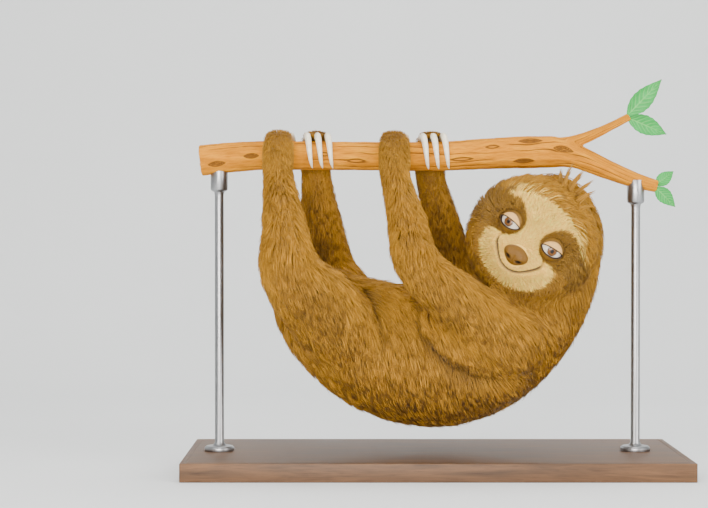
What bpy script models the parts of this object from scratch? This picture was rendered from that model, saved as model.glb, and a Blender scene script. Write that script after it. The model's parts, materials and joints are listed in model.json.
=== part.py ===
"""A life-size three-toed sloth hanging under a cut branch, on a museum display stand.

Metres, +Z up. The branch runs along X, the sloth's head is towards +X and its back hangs lowest, so its
own left side is towards -Y. The origin is on the floor, under the middle of the stand's base. The sloth's
solids reach out to the tips of the coat.
"""

import math

import bmesh
import bpy
from mathutils import Matrix, Vector

GAP = 0.0003  # the clearance that parts leave where they meet
SHARP = math.radians(38)  # edges sharper than this stay crisp in the shading
LEFT, RIGHT = -1, 1  # the sloth's sides: left is towards -Y, right towards +Y
SIDE_NAME = {LEFT: "left", RIGHT: "right"}

# Stand
BASE_LENGTH, BASE_DEPTH, BASE_HEIGHT = 0.600, 0.260, 0.022
BASE_EDGE = 0.004
ROD_RADIUS = 0.0055
ROD_X = {"left": -0.262, "right": 0.246}
FLANGE_RADIUS, FLANGE_HEIGHT = 0.018, 0.006
CRADLE_RADIUS, CRADLE_HEIGHT = 0.0105, 0.024

# Branch: stations along its stem, each (x, height of the axis, radius)
STEM = [
    (-0.285, 0.3765, 0.0190),
    (-0.215, 0.3825, 0.0180),
    (-0.100, 0.3820, 0.0175),
    (0.000, 0.3815, 0.0178),
    (0.080, 0.3855, 0.0192),
    (0.145, 0.3870, 0.0195),
    (0.174, 0.3815, 0.0145),
    (0.209, 0.3665, 0.0122),
    (0.246, 0.3520, 0.0095),
    (0.272, 0.3450, 0.0075),
]
# Upper fork: it leaves the stem near the end over the head
FORK = [
    (0.132, 0.3920, 0.0110),
    (0.168, 0.3985, 0.0080),
    (0.205, 0.4130, 0.0058),
    (0.238, 0.4300, 0.0048),
]
# Leaves: foot of the leaf, the way it points, its length and width
LEAVES = [
    ((0.2350, -0.0020, 0.4310), (0.68, -0.16, 0.72), 0.060, 0.024),
    ((0.2355, 0.0020, 0.4290), (0.92, 0.18, -0.36), 0.056, 0.023),
    ((0.2700, 0.0022, 0.3465), (0.80, 0.16, 0.58), 0.030, 0.016),
    ((0.2695, -0.0022, 0.3440), (0.70, -0.16, -0.70), 0.034, 0.018),
]
LEAF_THICKNESS = 0.0012

# Trunk and neck: sections round the centre of the curled body. Each is the angle from straight down towards
# the head, the reach of the belly side and of the back from that centre, the half width, and the middle's Y.
CURL_CENTRE = Vector((0.0, 0.0, 0.270))
TRUNK = [
    (-76, 0.130, 0.213, 0.046, 0.000),
    (-62, 0.098, 0.219, 0.070, 0.000),
    (-42, 0.066, 0.219, 0.084, 0.000),
    (-18, 0.050, 0.220, 0.088, 0.000),
    (8, 0.049, 0.220, 0.088, 0.000),
    (31, 0.062, 0.215, 0.082, 0.000),
    (50, 0.084, 0.208, 0.069, 0.004),
    (68, 0.092, 0.206, 0.063, 0.010),
    (83, 0.078, 0.209, 0.062, 0.018),
    (97, 0.068, 0.212, 0.058, 0.023),
    (109, 0.066, 0.202, 0.050, 0.024),
]
NECK_FROM = 57  # the angle where the neck begins

# Joints of the limbs, for the sloth's right side: the left mirrors them in Y and has its own grip
SHOULDER, ELBOW_OUT = Vector((0.092, 0.060, 0.152)), 0.094
HIP, KNEE_OUT = Vector((-0.100, 0.048, 0.160)), 0.094
ELBOW_XZ = {LEFT: (-0.021, 0.249), RIGHT: (0.026, 0.250)}
KNEE_XZ = {LEFT: (-0.172, 0.243), RIGHT: (-0.134, 0.245)}
HAND_X = {LEFT: -0.0490, RIGHT: -0.0035}
FOOT_X = {LEFT: -0.1890, RIGHT: -0.1445}
# Half widths at the joints: along the branch, then across it
ARM_SIZES = [(0.043, 0.038), (0.037, 0.033), (0.0310, 0.0280), (0.0250, 0.0240), (0.0195, 0.0190)]
LEG_SIZES = [(0.052, 0.040), (0.052, 0.040), (0.0400, 0.0350), (0.0280, 0.0280), (0.0205, 0.0200)]

# Hands and feet: degrees from the branch's top towards the limb's own side, how far the middle is from the
# bark, and the half width and half thickness
GRIP = [
    (124, 0.0265, 0.0195, 0.0190),
    (98, 0.0192, 0.0205, 0.0170),
    (70, 0.0148, 0.0205, 0.0135),
    (42, 0.0113, 0.0200, 0.0100),
    (18, 0.0089, 0.0186, 0.0076),
    (0, 0.0072, 0.0160, 0.0058),
]
# Claws, the same way: they leave the fur over the branch's top and hook down its far side
CLAW = [
    (10, 0.0060, 0.0036, 0.0042),
    (-20, 0.0063, 0.0040, 0.0050),
    (-55, 0.0058, 0.0036, 0.0045),
    (-90, 0.0048, 0.0028, 0.0035),
    (-120, 0.0035, 0.0019, 0.0023),
    (-142, 0.0022, 0.0008, 0.0010),
]
CLAWS, CLAW_SPACING = 3, 0.0124
CLAW_LEAN = 0.009  # how far a claw's tip leans towards the head

# Tail: a short blunt stump between the thighs, as (point, half width, half thickness)
TAIL = [
    ((-0.176, 0.0, 0.218), 0.0200, 0.0190),
    ((-0.188, 0.0, 0.246), 0.0190, 0.0175),
    ((-0.193, 0.0, 0.272), 0.0165, 0.0150),
    ((-0.191, 0.0, 0.292), 0.0115, 0.0105),
]

# Head: its centre, how it is turned, and its half sizes to the tips of the coat
HEAD_CENTRE = Vector((0.1165, -0.036, 0.2805))
HEAD_ROLL = math.radians(35)  # the crown leans towards +X
HEAD_TURN = math.radians(-9)  # the face turns from straight at -Y towards -X
HEAD_NOD = math.radians(4)
HEAD_WIDE, HEAD_TALL, HEAD_FRONT, HEAD_BACK = 0.0830, 0.0795, 0.0510, 0.0580
# Forms of the face: where its middle is (sideways, up, in directions from the head's centre), how far it
# stands out, and its spread sideways and up. Those off the middle come in pairs.
FACE = [
    (0.00, -0.41, 0.0190, 0.36, 0.27),  # muzzle
    (0.00, -0.34, 0.0050, 0.16, 0.13),  # tip of the muzzle
    (0.61, 0.10, -0.0062, 0.21, 0.19),  # eye hollows
    (0.58, 0.40, 0.0030, 0.24, 0.12),  # brows
    (0.70, -0.38, 0.0045, 0.20, 0.24),  # cheeks
    (0.00, -0.80, 0.0040, 0.40, 0.16),  # chin
]
EYE_AT, EYE_RADIUS, EYE_SUNK = (0.62, 0.10), 0.0150, 0.0102
NOSE_AT, NOSE_SIZE, NOSE_SUNK = -0.335, (0.0155, 0.0060, 0.0116), 0.0022
NOSTRIL_SIDE, NOSTRIL_UP, NOSTRIL_RADIUS = 0.0080, -0.0034, 0.0020
MOUTH_HALF, MOUTH_LOW, MOUTH_RISE, MOUTH_RADIUS = 0.50, -0.60, 0.30, 0.0011


# ---------------------------------------------------------------- shared tools


def material(name, colour, roughness, metallic=0.0):
    """A plain Principled finish."""
    finish = bpy.data.materials.new(name)
    finish.use_nodes = True
    shader = finish.node_tree.nodes["Principled BSDF"]
    shader.inputs["Base Color"].default_value = (*colour, 1.0)
    shader.inputs["Roughness"].default_value = roughness
    shader.inputs["Metallic"].default_value = metallic
    return finish


def from_bmesh(name, form, finish):
    """A named object from a bmesh, in triangles that face outwards, the same for a part as for its seat."""
    bmesh.ops.triangulate(form, faces=form.faces, quad_method="FIXED")
    bmesh.ops.recalc_face_normals(form, faces=form.faces)
    mesh = bpy.data.meshes.new(name)
    form.to_mesh(mesh)
    form.free()
    thing = bpy.data.objects.new(name, mesh)
    bpy.context.scene.collection.objects.link(thing)
    mesh.materials.append(finish)
    return thing


def blended(stations, steps):
    """Catmull-Rom through stations, which are lists of numbers, with `steps` samples between each two."""

    def between(p, q, r, s, t):
        return (2 * q + (r - p) * t + (2 * p - 5 * q + 4 * r - s) * t**2 + (3 * q - p - 3 * r + s) * t**3) / 2

    ends = [stations[0], *stations, stations[-1]]
    found = []
    for four in zip(ends, ends[1:], ends[2:], ends[3:]):
        for step in range(steps):
            found.append([between(*values, step / steps) for values in zip(*four)])
    return [*found, list(stations[-1])]


def tube(name, stations, across, finish, steps=3, sides=12, grow=0.0, round_ends=True):
    """A closed limb-like tube. A station is (x, y, z, half width along `across`, half width square to it)."""
    line = blended(stations, steps)
    points = [Vector(row[:3]) for row in line]
    rings = []
    for i, row in enumerate(line):
        way = (points[min(i + 1, len(points) - 1)] - points[max(i - 1, 0)]).normalized()
        wide = (across - across.dot(way) * way).normalized()
        rings.append((points[i], way, wide, way.cross(wide), row[3] + grow, row[4] + grow))
    if round_ends:
        rings = [*end_rings(rings[0], -1)[::-1], *rings, *end_rings(rings[-1], 1)]
    form = bmesh.new()
    loops = []
    for centre, _, wide, deep, half_wide, half_deep in rings:
        loop = []
        for k in range(sides):
            a = 2 * math.pi * k / sides
            aside = wide * half_wide * math.cos(a) + deep * half_deep * math.sin(a)
            loop.append(form.verts.new(centre + aside))
        loops.append(loop)
    for near, far in zip(loops, loops[1:]):
        for k in range(sides):
            form.faces.new((near[k], near[(k + 1) % sides], far[(k + 1) % sides], far[k]))
    form.faces.new(loops[0])
    form.faces.new(loops[-1])
    return from_bmesh(name, form, finish)


def end_rings(ring, sign):
    """Rings that round off a tube's end, out from its last ring."""
    centre, way, wide, deep, half_wide, half_deep = ring
    reach = min(half_wide, half_deep)
    return [
        (
            centre + way * sign * reach * math.sin(a),
            way,
            wide,
            deep,
            half_wide * math.cos(a),
            half_deep * math.cos(a),
        )
        for a in (math.radians(35), math.radians(62), math.radians(80))
    ]


def ball(name, centre, half_sizes, finish, turn=None, rings=10, sides=16):
    """An ellipsoid, turned by a rotation matrix."""
    form = bmesh.new()
    bmesh.ops.create_uvsphere(form, u_segments=sides, v_segments=rings, radius=1.0)
    turn = (turn or Matrix.Identity(3)).to_4x4()
    place = Matrix.Translation(centre) @ turn @ Matrix.Diagonal((*half_sizes, 1.0))
    bmesh.ops.transform(form, matrix=place, verts=form.verts)
    return from_bmesh(name, form, finish)


def settle(thing):
    """Replaces an object's mesh by what its modifiers make of it."""
    bpy.context.view_layer.update()
    seen = thing.evaluated_get(bpy.context.evaluated_depsgraph_get())
    mesh = bpy.data.meshes.new_from_object(seen)
    thing.modifiers.clear()
    thing.data = mesh


def boolean(thing, other, operation):
    """Cuts another object from this one, or joins it, and removes the other."""
    change = thing.modifiers.new(operation.title(), "BOOLEAN")
    change.operation = operation
    change.solver = "EXACT"
    change.object = other
    settle(thing)
    bpy.data.objects.remove(other)


def sliced(thing, point, normal, name=None):
    """Cuts a closed object at a plane and keeps the side behind the normal. With a name, the rest becomes an
    object too."""
    beyond = None
    if name:
        beyond = bpy.data.objects.new(name, thing.data.copy())
        bpy.context.scene.collection.objects.link(beyond)
        slice_mesh(beyond, point + normal * GAP / 2, -normal)
    slice_mesh(thing, point - normal * GAP / 2, normal)
    return beyond


def slice_mesh(thing, point, normal):
    """Removes what lies past the plane and closes the cut."""
    form = bmesh.new()
    form.from_mesh(thing.data)
    everything = [*form.verts, *form.edges, *form.faces]
    bmesh.ops.bisect_plane(form, geom=everything, plane_co=point, plane_no=normal, clear_outer=True)
    bmesh.ops.holes_fill(form, edges=[edge for edge in form.edges if edge.is_boundary])
    bmesh.ops.triangulate(form, faces=[face for face in form.faces if len(face.verts) > 4])
    bmesh.ops.recalc_face_normals(form, faces=form.faces)
    form.to_mesh(thing.data)
    form.free()


# ---------------------------------------------------------------- branch and stand


def stem_at(x):
    """The branch's axis and radius at an x, read from its stations."""
    for (x0, z0, r0), (x1, z1, r1) in zip(STEM, STEM[1:]):
        if x <= x1:
            share = (x - x0) / (x1 - x0)
            return Vector((x, 0.0, z0 + share * (z1 - z0))), r0 + share * (r1 - r0)
    return Vector((x, 0.0, STEM[-1][1])), STEM[-1][2]


def wood_stations(rows):
    return [(x, 0.0, z, radius, radius) for x, z, radius in rows]


def make_branch(bark, grow=0.0):
    """The stem with its fork as one solid, square-cut at the stem's thick end."""
    across = Vector((0, 1, 0))
    kept = {"steps": 2, "grow": grow, "round_ends": False}
    stem = tube("perch_branch", wood_stations(STEM), across, bark, sides=12, **kept)
    fork = tube("fork", wood_stations(FORK), across, bark, sides=10, **kept)
    boolean(stem, fork, "UNION")
    return stem


def make_leaf(name, foot, way, length, width, leaf_green):
    """A thin pointed leaf, slightly cupped along its midrib and drooping to its tip."""
    way = Vector(way).normalized()
    side = Vector((0, -1, 0)).cross(way).normalized()
    lift = way.cross(side)
    rows, cols = 7, (-1.0, 0.0, 1.0)
    form = bmesh.new()
    grid = {}
    for layer, offset in enumerate((0.5, -0.5)):
        for row in range(rows):
            t = row / (rows - 1)
            half = width / 2 * max(math.sin(math.pi * t**0.8), 0.08)
            for col, share in enumerate(cols):
                cup = 0.16 * width * share**2 * math.sin(math.pi * t) - 0.10 * length * t**2
                along = Vector(foot) + way * length * t
                at = along + side * half * share + lift * (cup + offset * LEAF_THICKNESS)
                grid[layer, row, col] = form.verts.new(at)
    last = len(cols) - 1
    for row in range(rows - 1):
        for col in range(last):
            for layer in (0, 1):
                form.faces.new([grid[layer, row + i, col + j] for i, j in ((0, 0), (1, 0), (1, 1), (0, 1))])
        for col in (0, last):
            form.faces.new([grid[k, row + i, col] for k, i in ((0, 0), (0, 1), (1, 1), (1, 0))])
    for col in range(last):
        for row in (0, rows - 1):
            form.faces.new([grid[k, row, col + j] for k, j in ((0, 0), (0, 1), (1, 1), (1, 0))])
    return from_bmesh(name, form, leaf_green)


def make_perch(bark, leaf_green):
    make_branch(bark)
    for number, (foot, way, length, width) in enumerate(LEAVES, 1):
        leaf = make_leaf(f"perch_leaf_{number}", foot, way, length, width, leaf_green)
        boolean(leaf, make_branch(bark, grow=GAP), "DIFFERENCE")


def make_stand(board, steel, bark):
    """A flat base with a rod at each end, whose cradle holds the branch from below."""
    form = bmesh.new()
    bmesh.ops.create_cube(form, size=1.0)
    size = Matrix.Diagonal((BASE_LENGTH, BASE_DEPTH, BASE_HEIGHT, 1.0))
    bmesh.ops.transform(form, matrix=Matrix.Translation((0, 0, BASE_HEIGHT / 2)) @ size, verts=form.verts)
    upright_or_top = [edge for edge in form.edges if max(vert.co.z for vert in edge.verts) > BASE_HEIGHT / 2]
    bmesh.ops.bevel(form, geom=upright_or_top, offset=BASE_EDGE, segments=3, profile=0.5, affect="EDGES")
    from_bmesh("stand_base", form, board)
    for end, x in ROD_X.items():
        axis, radius = stem_at(x)
        foot, top = BASE_HEIGHT + GAP, axis.z - radius * 0.35
        profile = [
            (FLANGE_RADIUS, foot),
            (FLANGE_RADIUS, foot + FLANGE_HEIGHT * 0.7),
            (FLANGE_RADIUS * 0.9, foot + FLANGE_HEIGHT),
            (ROD_RADIUS, foot + FLANGE_HEIGHT),
            (ROD_RADIUS, top - CRADLE_HEIGHT * 1.3),
            (CRADLE_RADIUS, top - CRADLE_HEIGHT),
            (CRADLE_RADIUS, top),
        ]
        rod = turned(f"stand_rod_{end}", profile, Vector((x, 0, 0)), steel)
        boolean(rod, make_branch(bark, grow=GAP), "DIFFERENCE")


def turned(name, profile, place, finish, sides=14):
    """A solid of revolution about the vertical through `place`, from (radius, height) pairs."""
    form = bmesh.new()
    loops = []
    for radius, height in profile:
        loop = []
        for k in range(sides):
            a = 2 * math.pi * k / sides
            loop.append(form.verts.new(place + Vector((radius * math.cos(a), radius * math.sin(a), height))))
        loops.append(loop)
    for low, high in zip(loops, loops[1:]):
        for k in range(sides):
            form.faces.new((low[k], low[(k + 1) % sides], high[(k + 1) % sides], high[k]))
    form.faces.new(loops[0])
    form.faces.new(loops[-1])
    return from_bmesh(name, form, finish)


# ---------------------------------------------------------------- head


def head_axes():
    """The head's own axes as a matrix's columns: sideways to its left cheek, up to the crown, and out of the
    face."""
    upright = Matrix(((1, 0, 0), (0, 0, -1), (0, 1, 0)))
    turn = Matrix.Rotation(HEAD_TURN, 3, "Z") @ Matrix.Rotation(HEAD_NOD, 3, "X")
    return Matrix.Rotation(HEAD_ROLL, 3, "Y") @ turn @ upright


def head_reach(side, up, front):
    """How far the head's surface is from its centre in a direction of its own axes."""
    deep = HEAD_FRONT if front > 0 else HEAD_BACK
    reach = 1 / math.sqrt((side / HEAD_WIDE) ** 2 + (up / HEAD_TALL) ** 2 + (front / deep) ** 2)
    if front > 0:
        for at_side, at_up, height, spread_side, spread_up in FACE:
            away = ((abs(side) - at_side) / spread_side) ** 2 + ((up - at_up) / spread_up) ** 2
            reach += height * math.exp(-away / 2) * min(1.0, front * 2.5)
    return reach


def head_point(side, up, sink=0.0):
    """A point on the face in the direction (side, up), that far under its surface."""
    front = math.sqrt(1 - side**2 - up**2)
    way = head_axes() @ Vector((side, up, front))
    return HEAD_CENTRE + way * (head_reach(side, up, front) - sink)


def make_head_form(name, finish, grow=0.0, rings=17, sides=28):
    """The head as a globe of rings round the face's middle, closest together there."""
    axes = head_axes()
    form = bmesh.new()

    def vertex(from_front, around):
        ring = math.sin(from_front)
        way = Vector((ring * math.cos(around), ring * math.sin(around), math.cos(from_front)))
        return form.verts.new(HEAD_CENTRE + axes @ way * (head_reach(*way) + grow))

    angles = [math.pi * ((k / rings) + 0.30 * ((k / rings) ** 2 - k / rings)) for k in range(1, rings)]
    loops = [[vertex(angle, 2 * math.pi * k / sides) for k in range(sides)] for angle in angles]
    front, back = vertex(0.0, 0.0), vertex(math.pi, 0.0)
    for near, far in zip(loops, loops[1:]):
        for k in range(sides):
            form.faces.new((near[k], near[(k + 1) % sides], far[(k + 1) % sides], far[k]))
    for k in range(sides):
        form.faces.new((front, loops[0][k], loops[0][(k + 1) % sides]))
        form.faces.new((back, loops[-1][k], loops[-1][(k + 1) % sides]))
    return from_bmesh(name, form, finish)


def make_mouth_line(finish):
    """The smiling mouth as a thin tube along the muzzle, to be cut out of it."""
    stations = []
    for k in range(-6, 7):
        t = k / 6
        at = head_point(MOUTH_HALF * t, MOUTH_LOW + MOUTH_RISE * t**2)
        radius = MOUTH_RADIUS * (1 - 0.5 * t**2)
        stations.append((*at, radius, radius))
    return tube("mouth_line", stations, head_axes().col[2].copy(), finish, steps=1, sides=6, round_ends=False)


def make_head(coat, eye_brown, nose_leather):
    """The head with its eyes, nose and mouth line. It returns the head."""
    axes = head_axes()
    head = make_head_form("head", coat)
    for side in (LEFT, RIGHT):
        # The face looks at -Y, so the sloth's left eye is on the side of +X.
        centre = head_point(-side * EYE_AT[0], EYE_AT[1], EYE_SUNK)
        ball(f"eye_{SIDE_NAME[side]}", centre, [EYE_RADIUS] * 3, eye_brown, axes, 6, 12)
        boolean(head, ball("socket", centre, [EYE_RADIUS + GAP] * 3, coat, axes, 6, 12), "DIFFERENCE")
    boolean(head, make_mouth_line(coat), "DIFFERENCE")
    centre = head_point(0.0, NOSE_AT, NOSE_SUNK)
    sizes = (NOSE_SIZE[0], NOSE_SIZE[2], NOSE_SIZE[1])
    nose = ball("nose", centre, sizes, nose_leather, axes, 6, 12)
    boolean(head, ball("nose_seat", centre, [s + GAP for s in sizes], coat, axes, 6, 12), "DIFFERENCE")
    for side in (LEFT, RIGHT):
        hole = centre + axes @ Vector((side * NOSTRIL_SIDE, NOSTRIL_UP, NOSE_SIZE[1] * 0.85))
        boolean(nose, ball("nostril", hole, [NOSTRIL_RADIUS] * 3, nose_leather, axes, 4, 6), "DIFFERENCE")
    return head


# ---------------------------------------------------------------- limbs


def round_branch(x, side, degrees, off_bark):
    """A point round the branch: degrees from its top towards a side, that far off the bark."""
    axis, radius = stem_at(x)
    a = math.radians(degrees)
    return axis + (radius + off_bark) * Vector((0.0, side * math.sin(a), math.cos(a)))


def make_claw(name, x, side, horn, grow=0.0):
    """One claw hooked over the branch."""
    stations = []
    for degrees, off_bark, half_wide, half_deep in CLAW:
        share = (CLAW[0][0] - degrees) / (CLAW[0][0] - CLAW[-1][0])
        at = round_branch(x + CLAW_LEAN * share, side, degrees, off_bark)
        stations.append((*at, half_wide, half_deep))
    return tube(name, stations, Vector((1, 0, 0)), horn, steps=1, sides=6, grow=grow, round_ends=False)


def make_grip(name, x, side, coat, horn):
    """A hand or foot laid over the branch, with its claws."""
    stations = [
        (*round_branch(x, side, degrees, off_bark), half_wide, half_thick)
        for degrees, off_bark, half_wide, half_thick in GRIP
    ]
    grip = tube(name, stations, Vector((1, 0, 0)), coat, steps=1, sides=12)
    for number in range(CLAWS):
        claw_x = x + (number - (CLAWS - 1) / 2) * CLAW_SPACING
        make_claw(f"{name}_claw_{number + 1}", claw_x, side, horn)
        boolean(grip, make_claw("claw_seat", claw_x, side, horn, grow=GAP), "DIFFERENCE")
    return stations


def limb_stations(root, bend, wrist, sizes):
    """Stations from the joint in the trunk over the elbow or knee to the wrist or ankle."""
    points = [root, root.lerp(bend, 0.5), bend, bend.lerp(wrist, 0.5), wrist]
    return [(*point, *size) for point, size in zip(points, sizes)]


def make_limb(names, root, bend, grip_name, grip_x, side, sizes, coat, horn):
    """An upper and a lower limb, cut at the elbow or knee, and the hand or foot beyond the wrist or ankle."""
    grip = make_grip(grip_name, grip_x, side, coat, horn)
    wrist, palm = Vector(grip[0][:3]), Vector(grip[1][:3])
    upper_name, lower_name = names
    upper = tube(upper_name, limb_stations(root, bend, wrist, sizes), Vector((1, 0, 0)), coat)
    along = (palm - bend).normalized()
    sliced(upper, wrist - along * 0.004, along)
    sliced(bpy.data.objects[grip_name], wrist - along * 0.004, -along)
    fold = ((wrist - bend).normalized() + (bend - root).normalized()).normalized()
    lower = sliced(upper, bend, fold, lower_name)
    boolean(upper, make_trunk("trunk_seat", coat, grow=GAP), "DIFFERENCE")
    keep_largest(upper)
    keep_largest(lower)


def keep_largest(thing):
    """Drops the small bits that a cut has left loose."""
    form = bmesh.new()
    form.from_mesh(thing.data)
    left = set(form.verts)
    groups = []
    while left:
        group, reached = set(), [left.pop()]
        while reached:
            vert = reached.pop()
            group.add(vert)
            near = [edge.other_vert(vert) for edge in vert.link_edges]
            reached += [v for v in near if v in left]
            left.difference_update(near)
        groups.append(group)
    groups.sort(key=len)
    bmesh.ops.delete(form, geom=[vert for group in groups[:-1] for vert in group], context="VERTS")
    form.to_mesh(thing.data)
    form.free()


# ---------------------------------------------------------------- trunk, neck and tail


def make_trunk(name, coat, grow=0.0):
    """Trunk and neck in one sweep."""
    stations = []
    for degrees, belly, back, half_wide, y in TRUNK:
        a = math.radians(degrees)
        at = CURL_CENTRE + (belly + back) / 2 * Vector((math.sin(a), 0, -math.cos(a))) + Vector((0, y, 0))
        stations.append((*at, half_wide, (back - belly) / 2))
    return tube(name, stations, Vector((0, 1, 0)), coat, steps=2, sides=18, grow=grow)


def make_sloth(coat, horn, eye_brown, nose_leather):
    trunk = make_trunk("trunk", coat)
    for side in (LEFT, RIGHT):
        word = SIDE_NAME[side]
        flip = Vector((1, side, 1))
        elbow = Vector((ELBOW_XZ[side][0], side * ELBOW_OUT, ELBOW_XZ[side][1]))
        knee = Vector((KNEE_XZ[side][0], side * KNEE_OUT, KNEE_XZ[side][1]))
        arm = (f"upper_arm_{word}", f"forearm_{word}")
        leg = (f"thigh_{word}", f"shank_{word}")
        make_limb(arm, SHOULDER * flip, elbow, f"hand_{word}", HAND_X[side], side, ARM_SIZES, coat, horn)
        make_limb(leg, HIP * flip, knee, f"foot_{word}", FOOT_X[side], side, LEG_SIZES, coat, horn)
    tail = tube("tail", [(*at, wide, deep) for at, wide, deep in TAIL], Vector((0, 1, 0)), coat, steps=2)
    boolean(tail, make_trunk("trunk_seat", coat, grow=GAP), "DIFFERENCE")
    keep_largest(tail)
    make_head(coat, eye_brown, nose_leather)
    boolean(trunk, make_head_form("head_seat", coat, grow=GAP), "DIFFERENCE")
    a = math.radians(NECK_FROM)
    sliced(trunk, CURL_CENTRE, Vector((math.cos(a), 0, math.sin(a))), "neck")


def main():
    for thing in list(bpy.data.objects):
        bpy.data.objects.remove(thing)
    coat = material("coat", (0.340, 0.190, 0.050), 0.85)
    horn = material("horn", (0.780, 0.720, 0.580), 0.40)
    eye_brown = material("eye", (0.110, 0.045, 0.015), 0.08)
    nose_leather = material("nose", (0.130, 0.070, 0.030), 0.45)
    bark = material("bark", (0.560, 0.300, 0.060), 0.75)
    leaf_green = material("leaf", (0.170, 0.440, 0.150), 0.50)
    board = material("board", (0.070, 0.045, 0.028), 0.40)
    steel = material("steel", (0.300, 0.300, 0.310), 0.35, metallic=1.0)
    make_perch(bark, leaf_green)
    make_stand(board, steel, bark)
    make_sloth(coat, horn, eye_brown, nose_leather)
    for thing in bpy.data.objects:
        thing.data.shade_smooth()
        thing.data.set_sharp_from_angle(angle=SHARP)


main()
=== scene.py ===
"""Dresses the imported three-toed sloth: one skin, a shaggy coat, the face, claws, the branch with its
leaves, the stand and the stage round them. Every length is in metres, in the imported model's own frame."""

import json
import math

import bmesh
import bpy
import numpy as np
from bpy.props import FloatProperty, FloatVectorProperty, IntProperty, PointerProperty
from mathutils import Matrix, Vector, noise
from mathutils.bvhtree import BVHTree
from mathutils.kdtree import KDTree

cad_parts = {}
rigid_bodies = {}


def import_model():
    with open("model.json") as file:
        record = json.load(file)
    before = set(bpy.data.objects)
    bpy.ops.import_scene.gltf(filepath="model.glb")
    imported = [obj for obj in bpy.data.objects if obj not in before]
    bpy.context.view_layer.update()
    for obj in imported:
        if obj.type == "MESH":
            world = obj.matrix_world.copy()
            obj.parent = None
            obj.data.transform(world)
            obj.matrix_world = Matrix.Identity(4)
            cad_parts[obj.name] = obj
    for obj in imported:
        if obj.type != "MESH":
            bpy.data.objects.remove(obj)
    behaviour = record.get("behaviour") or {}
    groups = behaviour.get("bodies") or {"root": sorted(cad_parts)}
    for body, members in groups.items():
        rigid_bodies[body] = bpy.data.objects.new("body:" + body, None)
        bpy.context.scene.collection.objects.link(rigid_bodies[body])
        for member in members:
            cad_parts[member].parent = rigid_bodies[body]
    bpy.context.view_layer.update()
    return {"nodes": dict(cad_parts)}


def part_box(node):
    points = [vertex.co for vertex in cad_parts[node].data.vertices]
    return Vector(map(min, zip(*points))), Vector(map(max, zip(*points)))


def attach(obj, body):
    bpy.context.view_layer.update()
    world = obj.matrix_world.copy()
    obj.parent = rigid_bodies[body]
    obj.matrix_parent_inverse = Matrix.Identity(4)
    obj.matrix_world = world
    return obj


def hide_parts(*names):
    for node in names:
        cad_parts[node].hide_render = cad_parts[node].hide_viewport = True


bl_info = {
    "name": "Three-toed sloth on a branch",
    "version": (1, 0, 0),
    "blender": (4, 5, 0),
    "location": "3D View > Sidebar > Sloth",
    "description": "Dresses the sloth's solids with skin, coat, claws, bark and leaves, and sets its stage",
    "category": "Object",
}

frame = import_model()

LEFT, RIGHT = -1, 1  # the sloth's sides: left is towards -Y
SIDES = {"left": LEFT, "right": RIGHT}
ARM, LEG = ("upper_arm", "forearm", "hand"), ("thigh", "shank", "foot")
FLESH = ["head", "neck", "trunk", "tail", *(f"{length}_{side}" for length in ARM + LEG for side in SIDES)]

# The curled body's centre and the joints, as the solids have them
CURL = np.array((0.0, 0.0, 0.270))
JOINTS = {
    "shoulder_left": (0.092, -0.060, 0.152),
    "shoulder_right": (0.092, 0.060, 0.152),
    "elbow_left": (-0.021, -0.094, 0.249),
    "elbow_right": (0.026, 0.094, 0.250),
    "wrist_left": (-0.049, -0.037, 0.357),
    "wrist_right": (-0.0035, 0.037, 0.357),
    "hip_left": (-0.100, -0.048, 0.160),
    "hip_right": (-0.100, 0.048, 0.160),
    "knee_left": (-0.172, -0.094, 0.243),
    "knee_right": (-0.134, 0.094, 0.245),
    "ankle_left": (-0.189, -0.037, 0.357),
    "ankle_right": (-0.1445, 0.037, 0.357),
}
# The way the hair lies on each length of limb: from one joint towards the next
LIE = {"upper_arm": ("elbow", "shoulder"), "forearm": ("wrist", "elbow")}
LIE |= {"thigh": ("knee", "hip"), "shank": ("ankle", "knee")}

# How far the skin lies under the coat's outline
DEPTH = {"trunk": 0.0145, "neck": 0.0145, "tail": 0.0060, "head": 0.0110}
DEPTH |= {"upper_arm": 0.0115, "forearm": 0.0080, "hand": 0.0036}
DEPTH |= {"thigh": 0.0125, "shank": 0.0085, "foot": 0.0036}
# The hair's length against the length that the coat's settings give, by region
SHARE = {"trunk": 1.0, "neck": 1.0, "tail": 0.50, "head": 0.62}
SHARE |= {"upper_arm": 0.90, "forearm": 0.68, "hand": 0.26}
SHARE |= {"thigh": 0.95, "shank": 0.72, "foot": 0.26}

# Folds where the long hair of an upper arm and of a thigh meets the body's: (x, height) from the pit of
# the limb on the left side, how much further forward it is on the right side, and on which side of the
# line the limb lies
ARM_FOLD = [(-0.046, 0.228), (-0.034, 0.199), (-0.0145, 0.166)]
ARM_FOLD += [(0.015, 0.138), (0.044, 0.127), (0.079, 0.124)]
THIGH_FOLD = [(-0.126, 0.269), (-0.0964, 0.222), (-0.0765, 0.196), (-0.067, 0.169), (-0.061, 0.152)]
PIT_FOLDS = ((ARM_FOLD, 0.047, 1), (THIGH_FOLD, 0.038, -1))
# A fold's width, the shares that it takes from the coat's depth and, as painted shade, from its colour, the
# share of its length where it starts to fade, and how near to it hair minds it
FOLD_WIDE, FOLD_SINK, FOLD_PAINTED_SHADE, FOLD_FADES, FOLD_REACH = 0.0085, 0.66, 0.50, 0.70, 0.05

# Head: centre, turn and half sizes to the tips of the coat, as the solids have them
HEAD = np.array((0.1165, -0.036, 0.2805))
HEAD_ROLL, HEAD_TURN, HEAD_NOD = math.radians(35), math.radians(-9), math.radians(4)
HEAD_WIDE, HEAD_TALL, HEAD_FRONT, HEAD_BACK = 0.0830, 0.0795, 0.0510, 0.0580
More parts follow.
